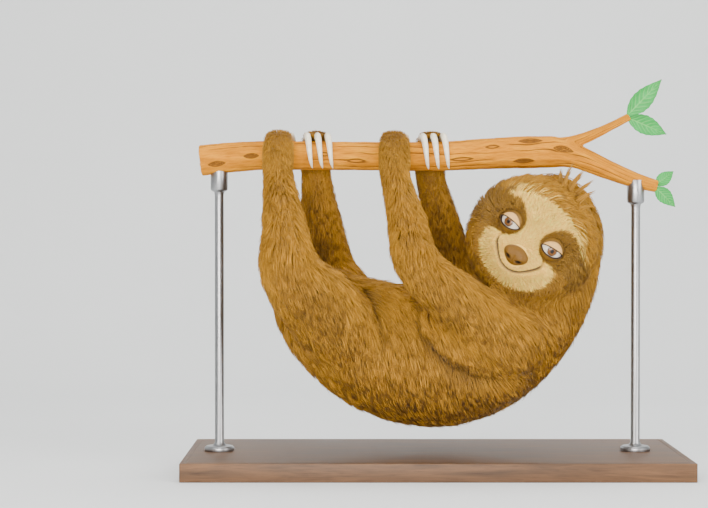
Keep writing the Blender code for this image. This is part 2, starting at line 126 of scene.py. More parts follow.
# Forms of the face: middle (sideways, up), how far it stands out, and its spread sideways and up
FACE = [
    (0.00, -0.41, 0.0190, 0.36, 0.27),
    (0.00, -0.34, 0.0050, 0.16, 0.13),
    (0.61, 0.10, -0.0062, 0.21, 0.19),
    (0.58, 0.40, 0.0030, 0.24, 0.12),
    (0.70, -0.38, 0.0045, 0.20, 0.24),
    (0.00, -0.80, 0.0040, 0.40, 0.16),
]
# Finer forms that only the skin has
FOLDS = [
    (0.00, -0.06, 0.0016, 0.10, 0.26),  # bridge of the nose
    (0.60, 0.35, 0.0012, 0.18, 0.040),  # fold over the eye
    (0.60, -0.14, 0.0010, 0.15, 0.035),  # bag under the eye
    (0.28, -0.40, -0.0008, 0.045, 0.11),  # beside the nose
    (0.50, -0.29, -0.0010, 0.045, 0.045),  # corner of the mouth
    (0.58, -0.38, 0.0014, 0.10, 0.12),  # cheek that the smile lifts
]
# How deep the skin lies under the coat's outline on the face, and where the face and its finer meshes
# start, by how squarely a place faces forward
FACE_DEPTH, FACE_FROM, FINE_FRONT = 0.0032, 0.02, (0.34, 0.46, 0.60)
# Eyeball: its direction (sideways, up), its radius and how deep its middle lies
EYE_AT, EYE_RADIUS, EYE_SUNK = (0.62, 0.10), 0.0150, 0.0102
# Opening between the lids, in degrees round the eyeball: half its width, the height and the slant of the
# line between its corners, how far the rims arch up and down from it, and how far the upper lid's fold does
SLIT_HALF, SLIT_LINE, SLIT_SLANT, SLIT_UP, SLIT_DOWN, SLIT_FOLD = 57.0, -3.0, 3.0, 8.0, 27.0, 44.0
# Lids: degrees from the way the eye looks to their outer edge, their thickness, how far their seat is in
# front of the eyeball's middle, and between which distances from it the seat runs out
LIDS_HALF, LIDS_THICK, LIDS_SEAT, SEAT_EDGE = 72.0, 0.0018, 0.0074, (0.0152, 0.0235)
# Nose pad: how far up it is, its half sizes (across, tall, deep) and how deep its middle lies
NOSE_AT, NOSE_SIZE, NOSE_SUNK = -0.335, (0.0155, 0.0116, 0.0066), 0.0028
# Nostrils: middle in shares of the pad's half sizes, turn and depth
NOSTRIL_AT, NOSTRIL_TURN, NOSTRIL_DEEP = (0.50, -0.34), math.radians(28), 0.0046
# Line of the mouth: half its width, its height in the middle and how far its ends rise
MOUTH_HALF, MOUTH_LOW, MOUTH_RISE = 0.50, -0.60, 0.30
# Its groove, the upper lip and the lower lip: how far above the line, spread, and how far it stands out
LIPS = ((0.0, 0.020, -0.0021), (0.060, 0.035, 0.0007), (-0.058, 0.034, 0.0011))
# Ovals of the markings, in shares of the head's half sizes: height of the middle, half width, half height
FOREHEAD, MUZZLE, RUFF = (0.09, 0.73, 0.47), (-0.25, 0.53, 0.44), (-0.22, 0.82, 0.66)
# The dark patch: where it starts beside the nose, how far it runs out, and its half width there
STRIPE_FROM, STRIPE_LONG, STRIPE_WIDE = 0.40, 0.40, 0.262
# Edge of the hood, as a direction: height of the middle, half width, half height
HOOD_EDGE = (-0.03, 0.97, 0.95)
# The line of the mouth, partly the lips' dark skin and partly painted shade in its groove, and the dark rims
# of the lids
MOUTH_DARK_AND_SHADE, RIM_DARK = (0.026, 0.011, 0.007), (0.022, 0.010, 0.006)
# Size of the quads that the skin and the bark are remade of, and how often they are smoothed
SKIN_GRAIN, SKIN_ROUNDS, BARK_GRAIN, BARK_ROUNDS = 0.0037, 5, 0.0013, 7
SINK_STEPS = 5  # in which the skin moves in from the coat's outline

# Branch: (x, height of the axis, radius) along the stem, and along the fork over the head
STEM = [
    (-0.285, 0.3765, 0.0190),
    (-0.215, 0.3825, 0.0180),
    (-0.100, 0.3820, 0.0175),
    (0.000, 0.3815, 0.0178),
    (0.080, 0.3855, 0.0192),
    (0.145, 0.3870, 0.0195),
    (0.174, 0.3815, 0.0145),
    (0.209, 0.3665, 0.0122),
    (0.246, 0.3520, 0.0095),
    (0.272, 0.3450, 0.0075),
]
FORK = [(0.132, 0.3920, 0.0110), (0.168, 0.3985, 0.0080), (0.205, 0.4130, 0.0058), (0.238, 0.4300, 0.0048)]
# Leaves: foot, direction, length and width
LEAVES = [
    ((0.2350, -0.0020, 0.4310), (0.68, -0.16, 0.72), 0.060, 0.024),
    ((0.2355, 0.0020, 0.4290), (0.92, 0.18, -0.36), 0.056, 0.023),
    ((0.2700, 0.0022, 0.3465), (0.80, 0.16, 0.58), 0.030, 0.016),
    ((0.2695, -0.0022, 0.3440), (0.70, -0.16, -0.70), 0.034, 0.018),
]
# Claws: degrees from the branch's top, how far off the bark, half width and half depth
CLAW = [
    (24, 0.0046, 0.0030, 0.0036),
    (10, 0.0060, 0.0036, 0.0042),
    (-20, 0.0061, 0.0039, 0.0048),
    (-55, 0.0053, 0.0035, 0.0043),
    (-90, 0.0042, 0.0027, 0.0034),
    (-120, 0.0030, 0.0018, 0.0023),
    (-142, 0.0017, 0.0005, 0.0007),
]
# From one claw to the next, and how far a claw's tip is from its root along the branch
CLAW_SPACING, CLAW_LEAN = 0.0124, 0.009
GRIP_X = {"hand_left": -0.0490, "hand_right": -0.0035, "foot_left": -0.1890, "foot_right": -0.1445}

body = {}  # what the skin hands on to the coat


# ---------------------------------------------------------------- shared tools


def only(thing=None):
    """Deselects everything, then selects one object and makes it active."""
    for other in bpy.context.view_layer.objects:
        other.select_set(other == thing)
    bpy.context.view_layer.objects.active = thing


def linked(name, data):
    """A new object in the scene."""
    thing = bpy.data.objects.new(name, data)
    bpy.context.scene.collection.objects.link(thing)
    return thing


def joined(first, *others):
    """Makes several objects one, which keeps the first one's place and is selected."""
    only(first)
    for thing in others:
        thing.select_set(True)
    bpy.ops.object.join()
    return first


def settled(thing, slot, *nodes):
    """Puts a finished piece's place in its mesh and hangs it on the sloth's one body."""
    only(thing)
    bpy.ops.object.transform_apply(location=True, rotation=True, scale=True)
    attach(thing, "root")
    if nodes:
        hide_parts(*nodes)
    return thing


def applied(thing, kind, **values):
    """Adds a modifier and applies it."""
    only(thing)
    change = thing.modifiers.new(kind.title(), kind)
    for name, value in values.items():
        setattr(change, name, value)
    bpy.ops.object.modifier_apply(modifier=change.name)


def rebuilt(thing, grain, rounds):
    """Turns a copy of the solids' loose triangles into one even mesh of quads, and smooths it."""
    only(thing)
    bpy.ops.object.mode_set(mode="EDIT")
    bpy.ops.mesh.select_all(action="SELECT")
    bpy.ops.mesh.remove_doubles(threshold=1e-5)
    bpy.ops.object.mode_set(mode="OBJECT")
    applied(thing, "REMESH", mode="VOXEL", voxel_size=grain)
    applied(thing, "SMOOTH", factor=0.5, iterations=rounds)


def rows_of(items, field, width, kind):
    """One field of a mesh's points, edges or triangles, a row for each."""
    flat = np.empty(len(items) * width, dtype=kind)
    items.foreach_get(field, flat)
    return flat.reshape(-1, width)


def points_of(mesh):
    return rows_of(mesh.vertices, "co", 3, float)


def edges_of(mesh):
    return rows_of(mesh.edges, "vertices", 2, np.int32)


def triangles_of(mesh):
    mesh.calc_loop_triangles()
    return rows_of(mesh.loop_triangles, "vertices", 3, np.int32)


def move_points(mesh, points):
    mesh.vertices.foreach_set("co", points.astype(np.float32).ravel())


def search_tree(points, faces):
    return BVHTree.FromPolygons([Vector(p) for p in points], faces.tolist())


def mesh_object(name, points, faces):
    """A smooth object from arrays of points and of faces with the same number of corners."""
    points, faces = np.asarray(points, dtype=np.float32), np.asarray(faces, dtype=np.int32)
    mesh = bpy.data.meshes.new(name)
    mesh.vertices.add(len(points))
    mesh.vertices.foreach_set("co", points.ravel())
    corners = faces.shape[1]
    mesh.loops.add(faces.size)
    mesh.loops.foreach_set("vertex_index", faces.ravel())
    mesh.polygons.add(len(faces))
    mesh.polygons.foreach_set("loop_start", np.arange(0, faces.size, corners, dtype=np.int32))
    mesh.update(calc_edges=True)
    mesh.shade_smooth()
    return linked(name, mesh)


def paint(mesh, name, colours):
    """Keeps a colour for each point, as an attribute that a finish reads."""
    layer = mesh.color_attributes.new(name=name, type="FLOAT_COLOR", domain="POINT")
    full = np.ones((len(colours), 4), dtype=np.float32)
    full[:, : colours.shape[1]] = colours
    layer.data.foreach_set("color", full.ravel())


def unit(rows):
    return rows / np.maximum(np.linalg.norm(rows, axis=-1, keepdims=True), 1e-9)


def eased(low, high, value):
    """Smooth step from 0 at low to 1 at high."""
    t = np.clip((value - low) / (high - low), 0.0, 1.0)
    return t * t * (3 - 2 * t)


def bell(value, spread):
    """From 1 where the value is 0 down to 0 well past its spread, on both sides."""
    return np.exp(-((value / spread) ** 2))


def oval(side, up, middle, wide, tall):
    """Below 1 inside an oval on the face, from the height of its middle and its half sizes."""
    return np.hypot(side / wide, (up - middle) / tall)


def mixed(one, two, share):
    """Rows of numbers: one where the share is 0, two where it is 1."""
    share = share[:, None]
    return one * (1 - share) + two * share


def speckle(points, scale=1.0):
    """Soft noise at each point: the higher the scale, the finer."""
    return np.array([noise.noise(Vector(p) * scale) for p in points])


def blended(stations, steps):
    """Catmull-Rom through rows of numbers: `steps` samples for each stretch between two."""
    rows = np.asarray(stations, dtype=float)
    ends = np.vstack((rows[:1], rows, rows[-1:]))
    found = []
    for p, q, r, s in zip(ends, ends[1:], ends[2:], ends[3:]):
        square, cube = 2 * p - 5 * q + 4 * r - s, 3 * q - p - 3 * r + s
        for t in np.arange(steps) / steps:
            found.append((2 * q + (r - p) * t + square * t**2 + cube * t**3) / 2)
    return np.array([*found, rows[-1]])


def swept(name, line, across, wide, deep, sides, shape):
    """A closed tube along a line, an ellipse at each of its points, scaled by `shape` at each angle."""
    ways = unit(np.gradient(line, axis=0))
    wides = unit(across - (ways @ across)[:, None] * ways)
    deeps = np.cross(ways, wides)
    turns = np.arange(sides) * 2 * math.pi / sides
    form = shape(turns)
    ring = wides[:, None] * (np.outer(wide, np.cos(turns) * form))[..., None]
    ring = ring + deeps[:, None] * (np.outer(deep, np.sin(turns) * form))[..., None] + line[:, None]
    count = len(line)
    points = np.vstack((ring.reshape(-1, 3), line[0], line[-1]))
    faces = []
    for i in range(count - 1):
        for k in range(sides):
            a, b = i * sides + k, i * sides + (k + 1) % sides
            faces += [(a, b, b + sides), (a, b + sides, a + sides)]
    for k in range(sides):
        after = (k + 1) % sides
        faces.append((count * sides, after, k))
        faces.append((count * sides + 1, (count - 1) * sides + k, (count - 1) * sides + after))
    return mesh_object(name, points, faces)


def right_side_out(thing):
    """Turns all faces outwards."""
    form = bmesh.new()
    form.from_mesh(thing.data)
    bmesh.ops.remove_doubles(form, verts=form.verts, dist=1e-6)
    bmesh.ops.recalc_face_normals(form, faces=form.faces)
    form.to_mesh(thing.data)
    form.free()


class Finish:
    """A procedural finish: a Principled shader and short ways to feed it."""

    def __init__(self, name, **sockets):
        self.material = bpy.data.materials.new(name)
        self.material.use_nodes = True
        self.tree = self.material.node_tree
        self.shader = self.tree.nodes["Principled BSDF"]
        for socket, value in sockets.items():
            label = socket.replace("_", " ").title().replace("Ior", "IOR")
            self.shader.inputs[label].default_value = value

    def add(self, kind, inputs=(), **values):
        node = self.tree.nodes.new(f"ShaderNode{kind}")
        for name, value in values.items():
            setattr(node, name, value)
        for socket, value in dict(inputs).items():
            if isinstance(value, bpy.types.NodeSocket):
                self.tree.links.new(value, node.inputs[socket])
            else:
                node.inputs[socket].default_value = value
        return node

    def attribute(self, name):
        return self.add("Attribute", attribute_name=name, attribute_type="GEOMETRY").outputs["Color"]

    def place(self, scale=(1, 1, 1), of=None):
        """Object coordinates, or another vector, scaled."""
        source = of or self.add("TexCoord").outputs["Object"]
        return self.add("Mapping", {"Vector": source, "Scale": scale}).outputs["Vector"]

    def noise(self, vector, scale, detail=4.0, roughness=0.55, warp=0.0):
        inputs = {"Vector": vector, "Scale": scale, "Detail": detail, "Roughness": roughness}
        return self.add("TexNoise", inputs | {"Distortion": warp}).outputs["Fac"]

    def cells(self, vector, scale, **values):
        return self.add("TexVoronoi", {"Vector": vector, "Scale": scale}, **values).outputs["Distance"]

    def ramp(self, factor, *stops):
        node = self.add("ValToRGB", {"Fac": factor})
        elements = node.color_ramp.elements
        while len(elements) < len(stops):
            elements.new(0.5)
        for element, (position, colour) in zip(elements, stops):
            element.position = position
            element.color = (*colour, 1.0)
        return node.outputs["Color"]

    def mix(self, factor, one, two, how="MIX"):
        node = self.add("Mix", data_type="RGBA", blend_type=how)
        for socket, value in zip((node.inputs[0], node.inputs[6], node.inputs[7]), (factor, one, two)):
            if isinstance(value, bpy.types.NodeSocket):
                self.tree.links.new(value, socket)
            else:
                socket.default_value = value if isinstance(value, float) else (*value, 1.0)
        return node.outputs[2]

    def math(self, how, one, two=0.0):
        return self.add("Math", {0: one, 1: two}, operation=how).outputs[0]

    def colour(self, source):
        self.tree.links.new(source, self.shader.inputs["Base Color"])

    def marked(self, shade, share=1.0):
        """Colours a piece by its own markings, darkened by a shade."""
        self.colour(self.mix(share, self.attribute("markings"), shade, "MULTIPLY"))

    def coated(self, weight, roughness, ior=1.5):
        """Lays a clear film over the surface."""
        for socket, value in (("Coat Weight", weight), ("Coat Roughness", roughness), ("Coat IOR", ior)):
            self.shader.inputs[socket].default_value = value

    def rough(self, factor, low, high):
        source = self.add("MapRange", {"Value": factor, "To Min": low, "To Max": high}).outputs["Result"]
        self.tree.links.new(source, self.shader.inputs["Roughness"])

    def bump(self, height, distance, strength=1.0):
        node = self.add("Bump", {"Height": height, "Distance": distance, "Strength": strength})
        self.tree.links.new(node.outputs["Normal"], self.shader.inputs["Normal"])

    def on(self, *things):
        for thing in things:
            thing.data.materials.clear()
            thing.data.materials.append(self.material)


# ---------------------------------------------------------------- the head's form


def head_axes():
    """Columns: sideways, up to the crown, and out of the face."""
    upright = Matrix(((1, 0, 0), (0, 0, -1), (0, 1, 0)))
    roll = Matrix.Rotation(HEAD_ROLL, 3, "Y")
    turn = Matrix.Rotation(HEAD_TURN, 3, "Z")
    nod = Matrix.Rotation(HEAD_NOD, 3, "X")
    return np.array(roll @ turn @ nod @ upright)


AXES = head_axes()


def from_head(points):
    """Directions of points from the head's centre, in its own axes, and their distances."""
    away = points - HEAD
    far = np.linalg.norm(away, axis=-1)
    return (away @ AXES) / np.maximum(far, 1e-9)[:, None], far


def heights(side, up, forms):
    """What a list of paired forms adds to the face."""
    total = np.zeros_like(side)
    for at_side, at_up, height, spread_side, spread_up in forms:
        away = ((np.abs(side) - at_side) / spread_side) ** 2 + ((up - at_up) / spread_up) ** 2
        total += height * np.exp(-away / 2)
    return total


def head_reach(way):
    """The coat's outline: how far it is from the head's centre in each direction."""
    side, up, front = way.T
    deep = np.where(front > 0, HEAD_FRONT, HEAD_BACK)
    reach = 1 / np.sqrt((side / HEAD_WIDE) ** 2 + (up / HEAD_TALL) ** 2 + (front / deep) ** 2)
    return reach + heights(side, up, FACE) * np.clip(front * 2.5, 0, 1)


def mouth_gap(side, up):
    """How far a direction is above the line of the mouth, and how much of the line is there."""
    along = np.minimum(np.abs(side) / MOUTH_HALF, 1.25)
    slope = 2 * MOUTH_RISE * along / MOUTH_HALF
    line = MOUTH_LOW + MOUTH_RISE * along**2
    return (up - line) / np.sqrt(1 + slope**2), 1 - eased(0.94, 1.12, along)


def skin_sink(way):
    """How far the skin lies under the coat's outline on the head: least at the mouth."""
    side, up, front = way.T
    out = np.sqrt((side / 0.96) ** 2 + ((up + 0.04) / 0.92) ** 2)
    hood = eased(0.62, 0.95, np.where(front > 0, out, 2.0))
    bare = np.exp(-((side / 0.34) ** 2 + ((up + 0.42) / 0.28) ** 2))
    return FACE_DEPTH - 0.5 * FACE_DEPTH * bare + (DEPTH["head"] - FACE_DEPTH) * hood


def skin_reach(way):
    """The bare skin's form, with the mouth and the folds."""
    side, up, front = way.T
    reach = head_reach(way) - skin_sink(way)
    facing = np.clip(front * 2.5, 0, 1)
    reach = reach + heights(side, up, FOLDS) * facing
    gap, there = mouth_gap(side, up)
    lips = sum(out * bell(gap - above, spread) for above, spread, out in LIPS)
    return reach + lips * there * facing


def on_head(side, up, sink):
    """A place under the coat's outline on the face."""
    way = np.array([[side, up, math.sqrt(1 - side**2 - up**2)]])
    return HEAD + (way @ AXES.T)[0] * (head_reach(way)[0] - sink)


def eye_place(side):
    """The middle of an eyeball. The face looks at -Y, so the left eye is on the side of +X."""
    return on_head(-side * EYE_AT[0], EYE_AT[1], EYE_SUNK)


def slit_rims(turn):
    """Tilt of the upper rim, the lower rim and the upper lid's fold at each turn round the eyeball."""
    t = np.clip(turn / SLIT_HALF, -1, 1)
    arch = (1 - t * t) ** 0.7
    line = SLIT_LINE + SLIT_SLANT * t
    return line + SLIT_UP * arch, line - SLIT_DOWN * arch, line + SLIT_FOLD * arch


def eye_axes(side):
    """Columns: outwards to the temple, up, and the way the eye looks."""
    way = np.array((-side * EYE_AT[0], EYE_AT[1], math.sqrt(1 - EYE_AT[0] ** 2 - EYE_AT[1] ** 2)))
    look = unit(0.42 * way + 0.58 * np.array((0.0, -0.02, 1.0)))
    across = unit(np.array((-side, 0.0, 0.0)) + side * look[0] * look)
    upward = np.cross(look, across) * -side
    return AXES @ np.stack((across, upward, look), axis=1)


def about_eye(points, side):
    """Places in an eye's own axes, from its middle, and how far they are from the line it looks along."""
    local = (points - eye_place(side)) @ eye_axes(side)
    return local, np.where(local[:, 2] > -0.006, np.hypot(local[:, 0], local[:, 1]), 1.0)


def seated(points):
    """The skin with a level seat round each eye, which the lids stand in."""
    for side in SIDES.values():
        local, out = about_eye(points, side)
        local[:, 2] += (LIDS_SEAT - local[:, 2]) * (1 - eased(*SEAT_EDGE, out))
        points = eye_place(side) + local @ eye_axes(side).T
    return points


# ---------------------------------------------------------------- markings


def from_pit_folds(points):
    """How far points are from the folds under the limbs on their side, positive on the limb's side."""
    best = np.ones(len(points))
    for fold, forward, limb in PIT_FOLDS:
        fold = np.array(fold)
        for side in SIDES.values():
            ease = np.linspace(1, 0, len(fold))
            knots = fold + np.column_stack((ease * forward * (side == RIGHT), 0 * ease))
            mine = side * points[:, 1] > 0.020
            for k, (start, end) in enumerate(zip(knots[:-1], knots[1:])):
                away = points[:, (0, 2)] - start
                long = np.linalg.norm(end - start)
                along = (end - start) / long
                t = np.clip(away @ along, 0, long)
                far = np.linalg.norm(away - t[:, None] * along, axis=1)
                # Its lower end fades
                run = (k + t / long) / (len(fold) - 1)
                far = far + 0.035 * np.maximum(run - FOLD_FADES, 0)
                sign = np.sign(along[0] * away[:, 1] - along[1] * away[:, 0] + 1e-9) * limb
                closer = mine & (far < np.abs(best))
                best = np.where(closer, far * sign, best)
    return best


def markings(points, shades):
    """The animal's colours at places on it, with painted shade in the folds under the limbs, the same for its
    skin and its coat.
    """
    away = (points - HEAD) @ AXES
    x, z = np.abs(away[:, 0]) / HEAD_WIDE, away[:, 1] / HEAD_TALL
    facing = eased(-0.004, 0.012, away[:, 2]) * (np.linalg.norm(away, axis=1) < 0.090)
    # The coat is mottled, and painted shade darkens it in the folds under the limbs
    mottle = speckle(points, 17.0) + 0.6 * speckle(points, 43.0)
    colours = shades["coat"] * (1 + 0.16 * mottle)[:, None]
    fold = bell(from_pit_folds(points), 0.7 * FOLD_WIDE)
    colours = colours * (1 - FOLD_PAINTED_SHADE * fold)[:, None]
    # Forehead, muzzle and cheeks are pale
    ragged = 0.020 * speckle(points, 260.0)
    forehead = 1 - eased(0.95, 1.02, oval(x, z, *FOREHEAD) + ragged)
    forehead *= eased(-0.04, 0.02, z)
    lower = 1 - eased(0.95, 1.02, oval(x, z, *MUZZLE) + ragged)
    pale = np.maximum(forehead, lower) * facing
    colours = mixed(colours, shades["face"], pale)
    # A dark patch surrounds each eye and runs out to the temple
    along = np.clip((x - STRIPE_FROM) / STRIPE_LONG, 0, 1)
    stripe = np.hypot(x - STRIPE_FROM - STRIPE_LONG * along, z - 0.085 + 0.04 * along)
    stripe = (1 - eased(0.93, 1.03, stripe / (STRIPE_WIDE - 0.05 * along) + ragged * 2)) * facing
    colours = mixed(colours, shades["stripe"], stripe)
    # A ruff of darker hair frames the cheeks and the chin
    ruff = 0.45 * (1 - eased(0.97, 1.05, oval(x, z, *RUFF) + ragged)) * (1 - pale) * (1 - stripe)
    ruff = ruff * eased(0.02, -0.12, z) * facing
    return np.clip(mixed(colours, shades["stripe"], ruff), 0, 1)


# ---------------------------------------------------------------- skin


def kind_and_side(name):
    """The kind of part that a solid is, and its side: left, right or none."""
    kind, _, side = name.rpartition("_")
    return (kind, side) if side in SIDES else (name, "")


def flesh_tree():
    """One search tree over the solids of flesh, and which of them each of its faces belongs to."""
    points, faces, owner = [], [], []
    for row, name in enumerate(FLESH):
        mesh = frame["nodes"][name].data
        start = len(points)
        points += [v.co.copy() for v in mesh.vertices]
        faces += [[start + k for k in p.vertices] for p in mesh.polygons]
        owner += [row] * len(mesh.polygons)
    return BVHTree.FromPolygons(points, faces), np.array(owner)


def nearest_part(points, tree, owner):
    """Which of the solids of flesh each point is nearest to."""
    return owner[[tree.find_nearest(Vector(p))[2] for p in points]]


def by_part(table, part):
    """A value for each point from a table that goes by kind of part."""
    return np.array([table[kind_and_side(name)[0]] for name in FLESH])[part]


def averaged(values, edges, rounds):
    """Evens values out over a mesh's edges."""
    count = len(values)
    ends = np.concatenate((edges[:, 0], edges[:, 1]))
    others = np.concatenate((edges[:, 1], edges[:, 0]))
    share = np.bincount(ends, minlength=count)
    values = values.reshape(count, -1)
    for _ in range(rounds):
        sums = [np.bincount(ends, weights=column[others], minlength=count) for column in values.T]
        values = 0.4 * values + 0.6 * np.stack(sums, axis=1) / np.maximum(share, 1)[:, None]
    return values


def face_crosses(points, faces):
    """The normal of each triangle, twice as long as its area."""
    corners = points[faces]
    return np.cross(corners[:, 1] - corners[:, 0], corners[:, 2] - corners[:, 0])


def normals_of(points, faces):
    """Smooth normals of the points of a triangle mesh."""
    across = face_crosses(points, faces)
    total = np.zeros_like(points)
    for corner in range(3):
        for axis in range(3):
            total[:, axis] += np.bincount(faces[:, corner], weights=across[:, axis], minlength=len(points))
    return unit(total)


def make_lids(side):
    """Both lids of one eye: a thin dome round the eyeball with a slit, full rims, and a fold above."""
    cols, rows = 112, 24
    s = np.arange(cols) * 2 * math.pi / cols
    turn = SLIT_HALF * np.cos(s)
    upper, lower, _ = slit_rims(turn)
    rim = ball_ways(turn, np.where(np.sin(s) > 0, upper, lower))
    edge = math.radians(LIDS_HALF)
    edge = np.stack((math.sin(edge) * np.cos(s), math.sin(edge) * np.sin(s), math.cos(edge) + 0 * s), axis=1)
    share = (np.arange(rows + 1) / rows)[None, :, None] ** 1.15
    ways = unit(rim[:, None] * (1 - share) + edge[:, None] * share)
    turn, tilt = ball_degrees(ways)
    upper, lower, fold = slit_rims(turn)
    lift = LIDS_THICK * (1 - 0.45 * share[..., 0]) + 0.0004 * bell(share[..., 0], 0.10)
    lift = lift - 0.0007 * bell(tilt - fold, 4.5) * (np.abs(turn) < SLIT_HALF)
    lift = lift - 0.0003 * bell(tilt - lower + 15, 4.0) * (np.abs(turn) < SLIT_HALF * 0.9)
    lift[:, 0] = 0.0009
    outer = ways * (EYE_RADIUS + lift)[..., None]
    inner = ways[:, ::-1] * (EYE_RADIUS + 0.0003)
    points = np.concatenate((outer, inner), axis=1)
    index = np.arange(points.shape[0] * points.shape[1]).reshape(points.shape[:2])
    over, after = np.roll(index, -1, axis=0), np.roll(index, -1, axis=1)
    faces = np.stack((index, over, np.roll(over, -1, axis=1), after), axis=-1).reshape(-1, 4)
    thing = mesh_object("lids", eye_place(side) + points.reshape(-1, 3) @ eye_axes(side).T, faces)
    right_side_out(thing)
    return thing


def ball_ways(turn, tilt):
    """Directions from an eyeball's middle, from degrees sideways and up."""
    turn, tilt = np.radians(turn), np.radians(tilt)
    return np.stack((np.sin(turn) * np.cos(tilt), np.sin(tilt), np.cos(turn) * np.cos(tilt)), axis=-1)


def ball_degrees(ways):
    """Degrees sideways and up of directions from an eyeball's middle."""
    return np.degrees(np.arctan2(ways[..., 0], ways[..., 2])), np.degrees(np.arcsin(ways[..., 1]))


def fine_there(place, level):
    """Whether the skin is split at a place: twice over the face, and once more along the mouth."""
    away = (place - HEAD) @ AXES
    far = np.linalg.norm(away)
    side, up, front = away / far
    if far > 0.080 or front < FINE_FRONT[level]:
        return False
    if level < 2:
        return True
    gap, there = mouth_gap(np.array([side]), np.array([up]))
    return abs(gap[0]) < 0.06 and there[0] > 0


def sunk_skin(mesh, tree, owner):
    """Moves the skin in from the coat's outline, and returns a search tree of that outline."""
    points, edges, faces = points_of(mesh), edges_of(mesh), triangles_of(mesh)
    part = nearest_part(points, tree, owner)
    way, _ = from_head(points)
    on_face = (part == 0) & (way[:, 2] > FACE_FROM)
    depth = np.where(on_face, skin_sink(way), by_part(DEPTH, part))
    depth = averaged(depth, edges, 45)[:, 0]
    # Where two limbs close a narrow fold the skin keeps clear of its other side
    outline = search_tree(points, faces)
    inward = -unit(averaged(normals_of(points, faces), edges, 2))
    found = [outline.ray_cast(Vector(p + 0.0005 * n), Vector(n))[3] for p, n in zip(points, inward)]
    through = np.array([0.1 if far is None else far for far in found])
    depth = averaged(np.minimum(depth, 0.30 * through), edges, 4)[:, 0]
    start = points
    for _ in range(SINK_STEPS):
        outward = unit(averaged(normals_of(points, faces), edges, 3))
        points = averaged(points - outward * depth[:, None] / SINK_STEPS, edges, 1)
    # Where it has turned over in a fold it goes back
    turned = (normals_of(points, faces) * inward).sum(axis=1) > -0.35
    back = np.clip(3 * averaged(turned.astype(float), edges, 6), 0, 1)
    points = points + (start - points) * 0.8 * back
    move_points(mesh, mixed(points, averaged(points, edges, 2), back[:, 0]))
    return outline


def worked_face(mesh, tree, owner):
    """Splits the quads of the face finely and moves each point there to the head's own form."""
    form = bmesh.new()
    form.from_mesh(mesh)
    for level in range(len(FINE_FRONT)):
        chosen = [face for face in form.faces if fine_there(np.array(face.calc_center_median()), level)]
        edges_in = list({edge for face in chosen for edge in face.edges})
        bmesh.ops.subdivide_edges(form, edges=edges_in, cuts=1, use_grid_fill=True)
    bmesh.ops.triangulate(form, faces=form.faces)
    form.to_mesh(mesh)
    form.free()
    points, edges = points_of(mesh), edges_of(mesh)
    way, far = from_head(points)
    of_head = averaged((nearest_part(points, tree, owner) == 0).astype(float), edges, 8)[:, 0]
    share = eased(0.30, 0.50, way[:, 2]) * (far < 0.086) * eased(0.45, 0.85, of_head)
    target = seated(HEAD + (way @ AXES.T) * skin_reach(way)[:, None])
    points = points + (target - points) * share[:, None]
    move_points(mesh, points)
    mesh.update()
    return points, way


def make_skin(colours):
    """One skin over the whole body, under the coat by its depth, with the face worked finely."""
    tree, owner = flesh_tree()
    skin = joined(*[linked("skin", frame["nodes"][name].data.copy()) for name in FLESH])
    mesh = skin.data
    mesh.name = "skin"
    rebuilt(skin, SKIN_GRAIN, SKIN_ROUNDS)
    keep_outermost(skin)
    outline = sunk_skin(mesh, tree, owner)
    points, way = worked_face(mesh, tree, owner)

    # What the coat needs of it: the form without lids, and the part and the coat's depth at each point
    faces, edges = triangles_of(mesh), edges_of(mesh)
    part = nearest_part(points, tree, owner)
    depth = np.array([outline.find_nearest(Vector(p))[3] for p in points])
    on_face = (part == 0) & (way[:, 2] > FACE_FROM)
    depth = averaged(np.where(on_face, skin_sink(way), depth), edges, 8)[:, 0]
    depth = depth * (1 - FOLD_SINK * bell(from_pit_folds(points), FOLD_WIDE))
    share = averaged(by_part(SHARE, part), edges, 45)[:, 0]
    normals = unit(averaged(normals_of(points, faces), edges, 2))
    ways = along_skin(averaged(hair_way(points, normals, part), edges, 10), normals)
    body.update(points=points, faces=faces, part=part, depth=depth, share=share, normals=normals, ways=ways)

    # The lids join it
    joined(skin, *[make_lids(side) for side in SIDES.values()])
    mesh.shade_smooth()
    paint(mesh, "markings", skin_colours(points_of(mesh), colours))
    return settled(skin, "coat", *FLESH)


def skin_colours(points, shades):
    """Markings on the skin, with pale lids and dark rims, painted shade in the lids' creases, and a dark line
    of the mouth that is partly painted shade in its groove.
    """
    colours = markings(points, shades)
    away = (points - HEAD) @ AXES
    way, _ = from_head(points)
    gap, there = mouth_gap(way[:, 0], way[:, 1])
    near = (away[:, 2] > 0) & (np.linalg.norm(away, axis=1) < 0.085)
    # The line of the mouth is painted dark: partly the lips' own dark skin, partly painted shade in the
    # groove between them
    colours = mixed(colours, np.array(MOUTH_DARK_AND_SHADE), bell(gap, 0.026) * there * near)
    for side in SIDES.values():
        local, out = about_eye(points, side)
        far = np.linalg.norm(local, axis=1)
        turn, tilt = ball_degrees(local / np.maximum(far, 1e-6)[:, None])
        upper, lower, fold = slit_rims(turn)
        dome = (far < EYE_RADIUS + 0.0026) & (out < 0.0160)
        between = np.abs(turn) < SLIT_HALF
        pale = (dome & between) * eased(upper - 1, upper + 1, tilt) * (1 - eased(fold - 3, fold + 1, tilt))
        rims = np.minimum(np.abs(tilt - upper), np.abs(tilt - lower))
        from_corner = np.hypot(np.abs(turn) - SLIT_HALF, tilt - SLIT_LINE - SLIT_SLANT * np.sign(turn))
        rims = np.where(between, rims, from_corner)
        # Painted shade in the crease of the upper lid's fold
        painted_crease_shade = 0.75 * bell(tilt - fold, 3.0) * between
        dark = np.maximum(1 - eased(2.6, 5.0, rims), painted_crease_shade) * dome
        colours = mixed(colours, 0.6 * shades["stripe"], dome * 0.5)
        colours = mixed(colours, shades["lid"], pale)
        colours = mixed(colours, np.array(RIM_DARK), dark)
    return colours


